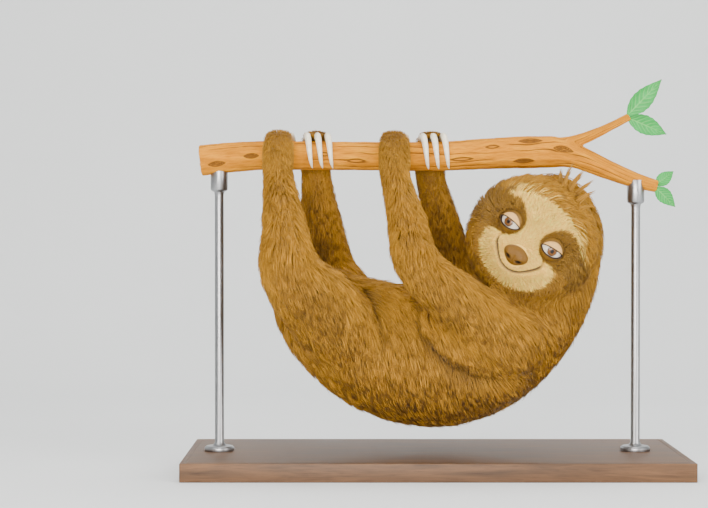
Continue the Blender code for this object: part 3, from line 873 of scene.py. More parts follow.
def keep_outermost(thing):
    """Drops closed pockets that the joined solids left inside."""
    form = bmesh.new()
    form.from_mesh(thing.data)
    left, groups = set(form.verts), []
    while left:
        group, reached = set(), [left.pop()]
        while reached:
            vert = reached.pop()
            group.add(vert)
            near = [edge.other_vert(vert) for edge in vert.link_edges]
            reached += [v for v in near if v in left]
            left.difference_update(near)
        groups.append(group)
    groups.sort(key=len)
    bmesh.ops.delete(form, geom=[vert for group in groups[:-1] for vert in group], context="VERTS")
    form.to_mesh(thing.data)
    form.free()


# ---------------------------------------------------------------- coat


# How much closer the hair of some parts grows than the trunk's
CLOSER = {**dict.fromkeys(SHARE, 1.0), "hand": 2.3, "foot": 2.3, "forearm": 1.25, "shank": 1.2}
# Along a lock: the share of its length where each point after the root lies, and how high it is in the coat
LOCK_STEPS = ((0.30, 0.55), (0.68, 0.90), (1.0, 1.02))
# How near to the middle of a tuft hairs are drawn to it, and how much of the way each point after the root
CLUMP_REACH, CLUMP_SHARES = 0.016, (0.15, 0.60, 1.0)
BARK_CLEAR = 0.0012  # between the bark and the hair
LOCK_THICK = 0.45  # against a lock's width
PAINTED_ROOT_SHADE, BRIGHTEST = 0.62, 0.95  # painted shade at a long lock's root, deep in the coat, against its colour; and the brightest of any colour
# The trunk's coat changes pieces at these degrees round the curl, from its lowest line to the head
RUMP_TO, CHEST_FROM = -28, 20


def joint_line(part_name):
    """The two ends of a length of limb, in the way that its hair lies."""
    kind, side = kind_and_side(part_name)
    return [np.array(JOINTS[f"{joint}_{side}"]) for joint in LIE[kind]]


def stem_at(x, wood=STEM):
    """Height of the axis of the branch's stem, or of its fork, and its radius at each x."""
    rows = blended(wood, 8)
    return np.interp(x, rows[:, 0], rows[:, 1]), np.interp(x, rows[:, 0], rows[:, 2])


def round_stem(points, side):
    """The turn of points round the stem, from its top towards a side, and how far they are from its axis."""
    height, _ = stem_at(points[:, 0])
    across, over = points[:, 1], points[:, 2] - height
    return np.arctan2(side * across, over), np.hypot(across, over)


def hair_way(points, normals, part):
    """The way the hair lies at places on the skin, along it."""
    goal = np.zeros_like(points)
    down = np.array((0.0, 0.0, -1.0))
    for row, name in enumerate(FLESH):
        mine = part == row
        if not mine.any():
            continue
        at = points[mine]
        kind, side_name = kind_and_side(name)
        if kind in ("trunk", "neck"):
            # Down from the belly to the back, and towards the head, most of all at the chest
            lean = 0.30 + 0.45 * eased(0.02, 0.12, at[:, 0]) * (kind == "trunk")
            goal[mine] = down + lean[:, None] * np.array((1.0, 0.0, 0.0))
        elif kind == "tail":
            goal[mine] = (0.0, 0.0, 1.0)
        elif kind in ("hand", "foot"):
            side = SIDES[side_name]
            turn = np.clip(round_stem(at, side)[0], -0.6, math.radians(120))
            # Down to the wrist, but over the knuckles towards the claws
            sense = (2 * eased(math.radians(26), math.radians(48), turn) - 1)[:, None]
            goal[mine] = np.stack((0 * turn, side * np.cos(turn), -np.sin(turn)), axis=1) * sense
        elif kind == "head":
            goal[mine] = head_hair_way(at)
        else:
            start, end = joint_line(name)
            goal[mine] = unit(end - start) * 0.6 + down * 0.5
    return along_skin(goal, normals)


def along_skin(ways, normals):
    """Directions turned into the skin's plane."""
    return unit(ways - (ways * normals).sum(axis=1)[:, None] * normals)


def head_hair_way(points):
    """Out from the nose over the face, round the eyes, and back over the hood from a parting to the nape."""
    way, _ = from_head(points)
    side, up, front = way.T
    flat = np.stack((side, up), axis=1)
    out = unit(flat - np.array((0.0, NOSE_AT + 0.02)))
    face = np.column_stack((out, -0.25 + 0 * side))
    for sign in (LEFT, RIGHT):
        from_eye = flat - np.array((sign * EYE_AT[0], EYE_AT[1]))
        near = 2.1 * bell(np.linalg.norm(from_eye, axis=1), 0.33)
        face[:, :2] += unit(from_eye) * near[:, None]
    # The hood's hair goes clockwise round the face from the sloth's right temple, and the other way round
    # the rest of it, always a little outwards
    ring = unit(flat)
    turn = np.degrees(np.arctan2(side, up))
    round_it = eased(-95, -62, turn) * (1 - eased(120, 170, turn)) - (1 - eased(-118, -95, turn))
    clockwise = np.column_stack((ring[:, 1], -ring[:, 0]))
    hood = clockwise * round_it[:, None] + 0.35 * ring
    hood = np.column_stack((hood, -0.50 + 0 * side))
    back = np.array((0.10, 0.0, -1.0)) @ AXES
    hood = mixed(hood, back, eased(-0.15, 0.55, -front))
    return mixed(face, hood, hooded(way)) @ AXES.T


def hooded(way):
    """From 0 on the face to 1 in the long hair that frames it."""
    side, up, front = way.T
    return eased(0.86, 0.94, np.where(front > 0, oval(side, up, *HOOD_EDGE), 2.0))


def on_faces(what, face):
    """What the skin has handed on, at some of its faces."""
    return body[what][body["faces"][face]].mean(axis=1)


def scatter(density, rng):
    """Roots over the skin, `density` to a square metre at each of its points: face, place, normal."""
    points, faces = body["points"], body["faces"]
    area = np.linalg.norm(face_crosses(points, faces), axis=1) / 2
    count = np.floor(area * density[faces].mean(axis=1) + rng.random(len(faces))).astype(int)
    face = np.repeat(np.arange(len(faces)), count)
    a, b = rng.random((2, len(face)))
    over = a + b > 1
    a[over], b[over] = 1 - a[over], 1 - b[over]
    share = np.stack((1 - a - b, a, b), axis=1)[:, :, None]
    places, normals = ((body[what][faces[face]] * share).sum(axis=1) for what in ("points", "normals"))
    return face, places, unit(normals)


def combed(roots, normals, face, length, depth, rise, tree, rng):
    """Lines of four points, from each root along the skin and up to the coat's outline at their tips."""
    at, up = roots, normals
    lines = [roots - normals * 0.0008]
    before = 0.0
    stray = rng.normal(0, 0.10, (len(roots), 3))
    for t, lift in LOCK_STEPS:
        way = along_skin(on_faces("ways", face) + stray, up)
        found = [tree.find_nearest(Vector(p)) for p in at + way * (length * (t - before))[:, None]]
        at = np.array([f[0] for f in found])
        face = np.array([f[2] for f in found])
        up = unit(on_faces("normals", face))
        depth = 0.5 * depth + 0.5 * on_faces("depth", face)
        lines.append(at + up * (depth * lift * rise)[:, None])
        before = t
    return np.stack(lines, axis=1)


def clumped(lines, part, spacing, pull, rng):
    """Draws the tips of neighbouring hairs together into tufts."""
    centres = np.flatnonzero(rng.random(len(lines)) < 1 / spacing)
    tree = KDTree(len(centres))
    for row, k in enumerate(centres):
        tree.insert(lines[k, 1], row)
    tree.balance()
    nearest = centres[[tree.find(line[1])[1] for line in lines]]
    gap = lines[nearest] - lines
    close = (np.linalg.norm(gap[:, 1], axis=1) < CLUMP_REACH) & (part[nearest] == part)
    strength = pull * close * rng.uniform(0.5, 1.0, len(lines))
    for step, share in enumerate(CLUMP_SHARES, start=1):
        lines[:, step] += gap[:, step] * (share * strength)[:, None]
    return lines, nearest


def clear_of_branch(lines):
    """Pushes hairs out of the bark."""
    flat = lines.reshape(-1, 3)
    for wood in (STEM, FORK):
        height, radius = stem_at(flat[:, 0], wood)
        radius = radius + BARK_CLEAR
        away = np.stack((flat[:, 1], flat[:, 2] - height), axis=1)
        far = np.maximum(np.linalg.norm(away, axis=1), 1e-5)
        inside = (far < radius) & (flat[:, 0] > wood[0][0]) & (flat[:, 0] < wood[-1][0])
        new = away / far[:, None] * radius[:, None]
        flat[inside, 1] = new[inside, 0]
        flat[inside, 2] = (new[:, 1] + height)[inside]
    return flat.reshape(lines.shape)


# A lock's two rings: at which point of its line, and its width there
LOCK_RINGS = ((1, 1.00), (2, 0.66))
# Its faces between the root, the rings and the tip, and where its eight points lie on its patch of the map
LOCK_FACES = np.array(
    [(0, 1 + k, 1 + (k + 1) % 3) for k in range(3)]
    + [(1 + k, 4 + k, 4 + (k + 1) % 3) for k in range(3)]
    + [(1 + k, 4 + (k + 1) % 3, 1 + (k + 1) % 3) for k in range(3)]
    + [(4 + k, 7, 4 + (k + 1) % 3) for k in range(3)]
)
LOCK_PATCH = np.array(((0, -1), (-1, -0.3), (1, -0.3), (0, -0.3), (-1, 0.4), (1, 0.4), (0, 0.4), (0, 1)))
PATCH_HALF = 0.0014  # of the map's side


def lock_mesh(name, lines, normals, width, thick, colours, places):
    """Closed locks, three-sided and pointed at both ends, along lines of four points, each with its patch
    of a map."""
    count = len(lines)
    ways = unit(np.stack((lines[:, 2] - lines[:, 0], lines[:, 3] - lines[:, 1]), axis=1))
    across = unit(np.cross(ways, normals[:, None, :]))
    upward = np.cross(across, ways)
    points = np.empty((count, 8, 3), dtype=np.float32)
    shades = np.empty((count, 8, 3), dtype=np.float32)
    root, middle, tip = colours
    points[:, 0], points[:, 7] = lines[:, 0], lines[:, 3]
    shades[:, 0], shades[:, 7] = root, tip
    for row, (at, share) in enumerate(LOCK_RINGS):
        wide = (width * share / 2)[:, None] * across[:, row]
        high = (thick * share)[:, None] * upward[:, row]
        for k, aside in enumerate((-wide, wide, high)):
            points[:, 1 + 3 * row + k] = lines[:, at] + aside
            shades[:, 1 + 3 * row + k] = (middle, (middle + tip) / 2)[row]
    every = (LOCK_FACES[None] + 8 * np.arange(count)[:, None, None]).reshape(-1, 3)
    thing = mesh_object(name, points.reshape(-1, 3), every)
    paint(thing.data, "markings", shades.reshape(-1, 3))
    uv = thing.data.uv_layers.new(name="OFBake")
    patches = places[:, None, None, :] + LOCK_PATCH[LOCK_FACES][None] * PATCH_HALF
    uv.data.foreach_set("uv", patches.astype(np.float32).ravel())
    return thing


def part_of_turn(across, over):
    """How far round a full turn a direction is, from 0 to 1."""
    return np.arctan2(across, over) / (2 * math.pi) + 0.5


def unwrapped(points, part):
    """Where each root lies on an unwrap of the skin: round each length of the body and along it, all
    within 0 to 1."""
    places = np.zeros((len(points), 2))
    for row, name in enumerate(FLESH):
        mine = part == row
        if not mine.any():
            continue
        at = points[mine]
        kind, side = kind_and_side(name)
        if kind in ("trunk", "neck"):
            away = at - CURL
            u = part_of_turn(away[:, 1], 0.145 - np.hypot(away[:, 0], away[:, 2]))
            v = np.arctan2(away[:, 0], -away[:, 2]) / math.radians(215) + 0.42
        elif kind == "head":
            way, _ = from_head(at)
            ring = np.arccos(np.clip(way[:, 2], -1, 1)) / math.pi
            flat = unit(way[:, :2]) * ring[:, None]
            u, v = 0.5 + 0.49 * flat[:, 0], 0.5 + 0.49 * flat[:, 1]
        elif kind == "tail":
            u = part_of_turn(at[:, 1], at[:, 0] + 0.190)
            v = (at[:, 2] - 0.18) / 0.14
        elif kind in ("hand", "foot"):
            turn, reach = round_stem(at, SIDES[side])
            u = part_of_turn(at[:, 0] - GRIP_X[name], reach - 0.031)
            v = 0.80 + 0.19 * np.clip((turn + 0.4) / 2.9, 0, 1)
        else:
            start, end = joint_line(name)
            along = unit(end - start)
            t = np.clip((at - start) @ along / np.linalg.norm(end - start), -0.25, 1.25)
            across = unit(np.cross(along, (0.0, 1.0, 0.0)))
            u = part_of_turn((at - start) @ across, (at - start) @ np.cross(along, across))
            low = 0.02 if kind in ("upper_arm", "thigh") else 0.41
            v = low + 0.37 * (t + 0.25) / 1.5
        places[mine] = np.stack((u, v), axis=1)
    return np.clip(places, 0.003, 0.997)


def piece_of(roots, part):
    """The name of the piece of coat that each root belongs to."""
    pieces = []
    for name in FLESH:
        kind, side = kind_and_side(name)
        limb = "arm" if kind in ARM else "leg"
        pieces.append(f"coat_{limb}_{side}" if side else f"coat_{name}")
    names = np.array(pieces, dtype=object)[part]
    on_trunk = part == FLESH.index("trunk")
    turn = np.degrees(np.arctan2(roots[:, 0], CURL[2] - roots[:, 2]))
    for side, sign in SIDES.items():
        mine = on_trunk & (np.sign(roots[:, 1] + 1e-9) == sign)
        names[mine] = f"coat_loins_{side}"
        names[mine & (turn < RUMP_TO)] = f"coat_rump_{side}"
        names[mine & (turn > CHEST_FROM)] = f"coat_chest_{side}"
    return names


def tones(roots, rng, shades, painted_root_shade, spread):
    """Colours of each lock at its root, middle and tip, from the markings where it grows, with painted shade
    darkening the root and painted light brightening the tip.
    """
    base = markings(roots, shades)
    change = rng.normal(1.0, spread, len(roots))[:, None]
    pale = (rng.random(len(roots)) < 0.12)[:, None] * 0.22
    base = np.clip(base * change * (1 + pale * np.array((1.0, 1.05, 1.3))), 0, BRIGHTEST)
    # Painted light makes the tip paler, and painted shade makes the root darker deep in the coat
    tip = np.clip(base * np.array((1.10, 1.12, 1.20)), 0, BRIGHTEST)
    return base * painted_root_shade, base * (0.5 + 0.5 * painted_root_shade), tip


def long_roots(per_square, rng):
    """Where the long hair grows: all over but on the face, and not under the bark."""
    part = body["part"]
    way, _ = from_head(body["points"])
    density = np.full(len(part), per_square * 1e6) * by_part(CLOSER, part)
    on_head = part == 0
    density[on_head] *= 1.25 * hooded(way[on_head])
    face, roots, normals = scatter(density, rng)
    _, reach = round_stem(roots, RIGHT)
    kept = reach - stem_at(roots[:, 0])[1] > 0.0018
    return face[kept], roots[kept], normals[kept]


def make_long_coat(length, width, per_square, seed, shades):
    """The shaggy hair of the body, the limbs, the neck and the hood."""
    rng = np.random.default_rng(seed)
    face, roots, normals = long_roots(per_square, rng)
    count = len(roots)
    part = body["part"][body["faces"][face, 0]]
    depth, share = on_faces("depth", face), on_faces("share", face)
    size = share * rng.uniform(0.72, 1.12, count)
    # Over the knuckles it is short
    grip = by_part({kind: float(kind in ("hand", "foot")) for kind in SHARE}, part)
    sides = np.array([SIDES.get(kind_and_side(name)[1], 0) for name in FLESH])[part]
    knuckle = grip * (1 - eased(35, 70, np.degrees(round_stem(roots, sides)[0])))
    size = size * (1 - 0.42 * knuckle)
    # The limbs' hair ends at the folds under them
    before = from_pit_folds(roots)
    after = from_pit_folds(roots + on_faces("ways", face) * (length * size)[:, None])
    crosses = (before > 0) & (after < 0) & (before < FOLD_REACH) & (after > -FOLD_REACH)
    reaches = np.clip(before / np.maximum(before - after, 1e-4) + 0.08, 0.20, 1.0)
    size = np.where(crosses, size * reaches, size)
    territory = part * 2 + (before > 0) * (np.abs(before) < FOLD_REACH)
    rise = rng.uniform(0.55, 1.10, count)
    tree = search_tree(body["points"], body["faces"])
    lines = combed(roots, normals, face, length * size, depth, rise, tree, rng)
    lines, nearest = clumped(lines, territory, 15, 0.66 * (1 - 0.65 * grip), rng)
    lines[:, 1:3] += rng.normal(0, 0.00045, (count, 2, 3)) * (1 - 0.6 * grip)[:, None, None]
    # Some tips stand a little out of the coat
    loose = (rng.random(count) < 0.10) * rng.uniform(0.001, 0.0035, count) * (1 - grip)
    lines[:, 3] += normals * loose[:, None]
    lines = clear_of_branch(lines)
    wide = width * (0.50 + 0.50 * share) * (1 - 0.3 * knuckle) * rng.uniform(0.75, 1.15, count)
    # Each lock is painted darker at its root, as shade deep in the coat, and paler at its tip, as light
    colours = tones(roots, rng, shades, PAINTED_ROOT_SHADE, 0.08)
    tuft = (1 + 0.08 * rng.standard_normal(count))[nearest][:, None]
    colours = [np.clip(tone * tuft, 0, BRIGHTEST) for tone in colours]
    places = unwrapped(roots, part)
    names = piece_of(roots, part)
    made = []
    for name in sorted(set(names)):
        mine = names == name
        own = [tone[mine] for tone in colours]
        thick = wide[mine] * LOCK_THICK
        made.append(lock_mesh(name, lines[mine], normals[mine], wide[mine], thick, own, places[mine]))
    return made


def make_face_coat(length, per_square, seed, shades):
    """The short hair of the face, out from the nose and round the eyes."""
    rng = np.random.default_rng(seed)
    way, _ = from_head(body["points"])
    on_face = (body["part"] == 0) & (way[:, 2] > 0.0)
    density = per_square * 1e6 * on_face * (1 - 0.8 * hooded(way))
    face, roots, normals = scatter(density, rng)
    way, _ = from_head(roots)
    side, up, _ = way.T
    gap, there = mouth_gap(side, up)
    from_nose = np.hypot(side, (up - NOSE_AT) * 1.25)
    from_eye = np.minimum(*(about_eye(roots, sign)[1] for sign in SIDES.values()))
    # It is shortest beside the nose, the lids and the mouth, and none grows on them
    open_skin = np.minimum(eased(0.17, 0.52, from_nose), eased(0.0138, 0.0270, from_eye))
    open_skin = np.minimum(open_skin, 1 - there * (1 - eased(0.03, 0.22, np.abs(gap))))
    kept = (from_nose > 0.200) & (from_eye > 0.0142) & ~((gap > -0.018) & (gap < 0.062) & (there > 0.2))
    roots, normals, face, way, open_skin = (all_of[kept] for all_of in (roots, normals, face, way, open_skin))
    count = len(roots)
    part = np.zeros(count, dtype=int)
    edge = eased(0.60, 0.90, oval(way[:, 0], way[:, 1], *HOOD_EDGE))
    size = length * (0.26 + 0.60 * open_skin + 0.14 * edge) * rng.uniform(0.8, 1.15, count)
    # Above the mouth the hair stops short of it
    gap, there = mouth_gap(way[:, 0], way[:, 1])
    size = np.where((gap > 0) & (there > 0.2), np.minimum(size, (gap - 0.020) * 0.055), size)
    depth = on_faces("depth", face) * (0.35 + 0.5 * open_skin + 0.25 * edge)
    tree = search_tree(body["points"], body["faces"])
    lines = combed(roots, normals, face, size, depth, rng.uniform(0.5, 1.0, count), tree, rng)
    lines, _ = clumped(lines, part, 6, 0.40, rng)
    lines = clear_of_branch(lines)
    wide = (0.00060 + 0.00045 * edge + 0.00020 * open_skin) * rng.uniform(0.8, 1.2, count)
    wide *= 1.0
    # Each lock is painted a little darker at its root, as shade deep in the coat, and paler at its tip, as
    # light
    colours = tones(roots, rng, shades, 0.86, 0.06)
    places = unwrapped(roots, part)
    return lock_mesh("coat_face", lines, normals, wide, wide * LOCK_THICK, colours, places)


# The crown's tufts: degrees from the crown towards the left ear where each grows, degrees that it leans
# that way at its root, degrees that it bends on by its tip, and its length against the longest
CROWN = (
    (-4, -46, 20, 0.66),
    (0, -34, 34, 0.98),
    (5, -18, 36, 1.00),
    (11, -4, 34, 0.88),
    (17, 6, 34, 0.80),
    (25, 16, 40, 0.62),
)
CROWN_HAIRS, CROWN_WIDE = 26, 0.00125


def make_crown_tuft(length, seed, shades):
    """A few long pointed tufts that stand up from the crown and bend over."""
    rng = np.random.default_rng(seed)
    lines = []
    for degrees, lean, bend, share in CROWN:
        a = math.radians(degrees)
        out = unit(np.array((math.sin(a), math.cos(a), rng.normal(0.16, 0.08))))
        middle = HEAD + (out @ AXES.T) * (head_reach(out[None])[0] - 0.009)
        across = np.array((math.cos(a), -math.sin(a), 0.0)) @ AXES.T
        for _ in range(CROWN_HAIRS):
            aside = across * rng.normal(0, 0.0024) + AXES[:, 2] * rng.normal(0, 0.0024)
            splay = across * rng.normal(0, 0.0009) + AXES[:, 2] * rng.normal(0, 0.0009)
            size = length * share * rng.uniform(0.60, 1.0)
            spine, before, line = np.zeros(3), 0.0, []
            for t in (0.0, *(t for t, _ in LOCK_STEPS)):
                turn = math.radians(lean + bend * (t + before) / 2)
                way = np.array((math.sin(turn), math.cos(turn), 0.0)) @ AXES.T
                spine = spine + way * (size * (t - before))
                line.append(middle + spine + aside * (1 - t) ** 1.3 + splay * t)
                before = t
            lines.append(line)
    lines = clear_of_branch(np.array(lines))
    count = len(lines)
    wide = CROWN_WIDE * rng.uniform(0.8, 1.2, count)
    # Each hair is painted darker at its root, as shade, and paler at its tip, as light
    colours = tones(lines[:, 0], rng, shades, PAINTED_ROOT_SHADE, 0.06)
    places = unwrapped(lines[:, 0], np.zeros(count, dtype=int))
    facing = np.tile(AXES[:, 2], (count, 1))
    return lock_mesh("coat_crown_tuft", lines, facing, wide, wide * 0.5, colours, places)


# ---------------------------------------------------------------- eyes, nose and claws


# Eye: degrees from the middle of the pupil where the pupil, the iris, its rim and the white begin and end
EYE_RINGS = (0, 8, 9.5, 17.5, 20, 21.5, 24, 180)
EYE_PUPIL, EYE_RIM, EYE_WHITE = (0.004, 0.003, 0.003), (0.030, 0.014, 0.008), (0.66, 0.57, 0.46)
NOSE_BROWN = (0.150, 0.066, 0.004)
CLAW_ROOT, CLAW_TIP = (0.50, 0.38, 0.22), (0.86, 0.80, 0.66)


def make_eye(name, side, iris, finish):
    """An eyeball with a cornea that stands a little proud, coloured by how far it is from its pupil."""
    only()
    bpy.ops.mesh.primitive_uv_sphere_add(segments=64, ring_count=40, radius=EYE_RADIUS)
    thing = bpy.context.active_object
    thing.name = thing.data.name = f"eyeball_{name}"
    local = points_of(thing.data)
    toward = unit(np.array((0.0, -0.12, 1.0)))
    angle = np.degrees(np.arccos(np.clip(unit(local) @ toward, -1, 1)))
    bulge = 1 + 0.035 * np.exp(-((angle / 26) ** 4))
    move_points(thing.data, eye_place(side) + (local * bulge[:, None]) @ eye_axes(side).T)
    shades = np.repeat((EYE_PUPIL, iris, EYE_RIM, EYE_WHITE), 2, axis=0)
    colours = np.stack([np.interp(angle, EYE_RINGS, shades[:, k]) for k in range(3)], axis=1)
    spoke = np.arctan2(local[:, 1], local[:, 0])
    streaks = 1 + 0.22 * np.sin(spoke * 23) * bell(angle - 14, 4)
    paint(thing.data, "markings", np.clip(colours * streaks[:, None], 0, 1))
    right_side_out(thing)
    thing.data.shade_smooth()
    finish.on(thing)
    return settled(thing, "eye", f"eye_{name}")


def make_nose(finish):
    """A broad rounded pad with two comma-shaped nostrils low at its sides and a groove between them."""
    only()
    bpy.ops.mesh.primitive_uv_sphere_add(segments=128, ring_count=72, radius=1.0)
    thing = bpy.context.active_object
    thing.name = thing.data.name = "nose_pad"
    x, y, z = points_of(thing.data).T
    wide, tall, deep = NOSE_SIZE
    broad = 1 + 0.16 * y - 0.06 * y * y
    form = np.stack((x * wide * broad, y * tall * (1 - 0.10 * x * x), z * deep), axis=1)
    # Rounded wings above the nostrils, the nostrils, and the groove that runs down to the lip
    front = np.clip(z, 0, 1)
    wings = 0.0011 * np.exp(-(((np.abs(x) - 0.62) / 0.26) ** 2 + ((y + 0.05) / 0.34) ** 2))
    u, v = np.abs(x) - NOSTRIL_AT[0], y - NOSTRIL_AT[1]
    slant, upright = math.sin(NOSTRIL_TURN), math.cos(NOSTRIL_TURN)
    u, v = u * upright + v * slant, v * upright - u * slant
    pits = NOSTRIL_DEEP * np.exp(-((u / 0.23) ** 2 + (v / 0.14) ** 2) ** 1.5)
    groove = 0.0009 * bell(x, 0.060) * (1 - eased(-0.10, 0.25, y))
    form[:, 2] += (wings - pits - groove) * front
    grain = speckle(form, 1400.0)
    form[:, 2] += 0.00012 * grain * front
    # The pad leans back with the muzzle under it
    lean = Matrix.Rotation(math.radians(14), 3, "X")
    seat = on_head(0.0, NOSE_AT, NOSE_SUNK)
    move_points(thing.data, seat + (form @ np.array(lean).T) @ AXES.T)
    # The nostrils are painted almost black, as painted shade in their pits
    dark = np.exp(-((u / 0.27) ** 2 + (v / 0.175) ** 2) ** 1.5) * (z > 0)
    base = np.array(NOSE_BROWN) * (1 + 0.16 * grain)[:, None]
    paint(thing.data, "markings", base * (1 - 0.97 * dark)[:, None])
    right_side_out(thing)
    thing.data.shade_smooth()
    finish.on(thing)
    return settled(thing, "nose_skin", "nose")


def round_branch(x, side, degrees, off_bark):
    """A point round the branch: degrees from its top towards a side, that far off the bark."""
    height, radius = stem_at(x)
    a, reach = math.radians(degrees), radius + off_bark
    return np.array((x, side * reach * math.sin(a), height + reach * math.cos(a)))


def make_claw(name, finish):
    """One hooked claw: oval, flattened below, finely grooved along its length."""
    grip, number = name.rsplit("_claw_", 1)
    side = SIDES[kind_and_side(grip)[1]]
    x = GRIP_X[grip] + (int(number) - 2) * CLAW_SPACING
    rows = blended(CLAW, 7)
    share = np.linspace(0, 1, len(rows))
    line = np.array([round_branch(x + CLAW_LEAN * s, side, row[0], row[1]) for s, row in zip(share, rows)])

    def form(turns):
        return 1 + 0.035 * np.cos(turns * 9) - 0.10 * np.clip(-np.sin(turns), 0, 1) ** 3

    across = np.array((1.0, 0.0, 0.0))
    thing = swept(f"{grip}_hook_{number}", line, across, rows[:, 2], rows[:, 3], 36, form)
    right_side_out(thing)
    # Growth shows as faint rings, and the tip is paler and worn
    points = points_of(thing.data)
    near = np.array([np.argmin(np.linalg.norm(line - p, axis=1)) for p in points]) / (len(line) - 1)
    rings = 1 + 0.05 * np.sin(near * 60 + 3 * int(number))
    colours = mixed(np.array(CLAW_ROOT), np.array(CLAW_TIP), eased(0.02, 0.42, near))
    paint(thing.data, "markings", np.clip(colours * rings[:, None], 0, 1))
    thing.data.shade_smooth()
    finish.on(thing)
    return settled(thing, "claw_horn", name)


# ---------------------------------------------------------------- branch and leaves


# Knots: x, degrees round the branch from its top (-90 on the left side), half length, half height in
# degrees, how far it stands out
KNOTS = (
    (-0.2640, -112, 0.0100, 9.0, 0.0007),
    (-0.2220, -92, 0.0090, 8.0, 0.0010),
    (-0.1340, -86, 0.0080, 6.5, 0.0005),
    (-0.0950, -112, 0.0110, 7.0, 0.0008),
    (0.0330, -107, 0.0130, 6.0, 0.0006),
    (0.0700, -66, 0.0080, 5.5, 0.0005),
    (0.1160, -48, 0.0140, 10.0, 0.0014),
    (0.1080, -124, 0.0120, 8.0, 0.0012),
    (0.1560, -78, 0.0120, 11.0, 0.0012),
    (-0.1900, 70, 0.0120, 10.0, 0.0012),
    (0.0550, 105, 0.0110, 9.0, 0.0012),
    (-0.0300, 165, 0.0120, 9.0, 0.0010),
)
# Furrows round the branch, and how far from a knot's rim the bark takes note of it
GRAIN_LINES, KNOT_EDGE = 13, 0.006
BARK_OCHRE, BARK_DARK, BARK_PALE = (0.600, 0.222, 0.003), (0.380, 0.130, 0.003), (0.740, 0.320, 0.010)
FURROW_BROWN, BARE_WOOD = (0.110, 0.042, 0.008), (0.780, 0.480, 0.170)
# Greens of a leaf's blade, dark and light, and of its midrib and veins
LEAF_GREENS = ((0.006, 0.240, 0.034), (0.022, 0.350, 0.062), (0.150, 0.480, 0.110))


def bark_place(x, y, z):
    """Degrees round the stem or the fork from its top, whichever is nearer."""
    stem_z, stem_r = stem_at(x)
    fork_z, fork_r = stem_at(x, FORK)
    off_stem = np.hypot(y, z - stem_z) - stem_r
    off_fork = np.where(x > 0.150, np.hypot(y, z - fork_z) - fork_r, 1.0)
    blend = eased(-0.004, 0.004, off_stem - off_fork)
    return np.degrees(np.arctan2(y, z - (stem_z * (1 - blend) + fork_z * blend)))


def make_branch():
    """The cut branch: bark with wavy furrows that part round its knots, a fork, and rings on its sawn end."""
    thing = linked("branch", frame["nodes"]["perch_branch"].data.copy())
    thing.data.name = "branch"
    rebuilt(thing, BARK_GRAIN, BARK_ROUNDS)
    points, faces = points_of(thing.data), triangles_of(thing.data)
    normals = unit(averaged(normals_of(points, faces), edges_of(thing.data), 2))
    x, y, z = points.T
    turn = bark_place(x, y, z)
    sawn = eased(0.55, 0.85, -normals[:, 0]) * (x < -0.280)
    ring = np.stack((np.sin(np.radians(turn)), np.cos(np.radians(turn))), axis=1)

    def waves(along, round_it, start):
        """Noise that runs along the wood, the same on both sides of the seam."""
        return speckle(np.column_stack((x * along + start, ring * round_it)))

    # The furrows run along the wood, wander, and part round the knots
    flow = turn + 11 * waves(20, 0.7, 2.0) + 4 * waves(52, 1.6, 5.0)
    lump, edge = np.zeros(len(points)), np.full(len(points), KNOT_EDGE)
    for at_x, at_turn, long, wide, out in KNOTS:
        dx, dturn = (x - at_x) / long, (turn - at_turn + 180) % 360 - 180
        flow -= 0.95 * dturn * np.exp(-((dx / 1.7) ** 2) - (dturn / (2.4 * wide)) ** 2)
        lens = np.abs(dturn) / wide + dx**2
        lump += out * bell(lens, 1.5) - 1.6 * out * bell(lens, 0.55)
        width = math.radians(wide) * 0.0175
        away = (lens - 1) * width
        edge = np.where(np.abs(away) < np.abs(edge), away, edge)
        # A wide knot has an inner rim too
        core = (lens - 0.35) * width
        edge = np.where((np.abs(core) < np.abs(edge)) & (wide > 7.5), core, edge)
    phase = np.radians(flow) * GRAIN_LINES
    furrow = np.cos(phase)
    strength = eased(-0.22, 0.12, waves(13, 2.6, 7.0)) * (1 - sawn)
    grain = waves(30, 3.0, 11.0) + 0.5 * waves(75, 7.0, 13.0)
    relief = 0.0006 * grain - 0.0006 * eased(0.80, 1.0, furrow) * strength + lump * (1 - sawn)
    move_points(thing.data, points + normals * relief[:, None])
    # Ochre bark, paler on its ridges; the sawn end has rings round its heart
    colours = mixed(np.array(BARK_OCHRE), np.array(BARK_DARK), np.clip(-grain * 0.8, 0, 1))
    colours = mixed(colours, np.array(BARK_PALE), np.clip(grain * 0.8, 0, 1))
    from_heart = np.hypot(y, z - stem_at(x)[0]) * (1 + 0.05 * np.sin(np.radians(turn) * 3))
    rings = 0.5 + 0.5 * np.sin(from_heart * 4200)
    wood = np.array(BARE_WOOD) * (0.72 + 0.28 * rings)[:, None]
    paint(thing.data, "markings", np.clip(mixed(colours, wood, sawn), 0, 1))
    paint(thing.data, "grain", np.column_stack((x + 0.5, ring * 0.018 + 0.5)))
    edge = np.where(sawn > 0.5, KNOT_EDGE, edge)
    furrows = np.stack((furrow, np.sin(phase), np.clip(edge / KNOT_EDGE, -1, 1)), axis=1)
    paint(thing.data, "furrows", furrows * 0.5 + 0.5)
    carving = strength * eased(0.0, 0.0015, edge)
    paint(thing.data, "carving", np.repeat(carving[:, None], 3, axis=1))
    thing.data.shade_smooth()
    return settled(thing, "bark", "perch_branch")


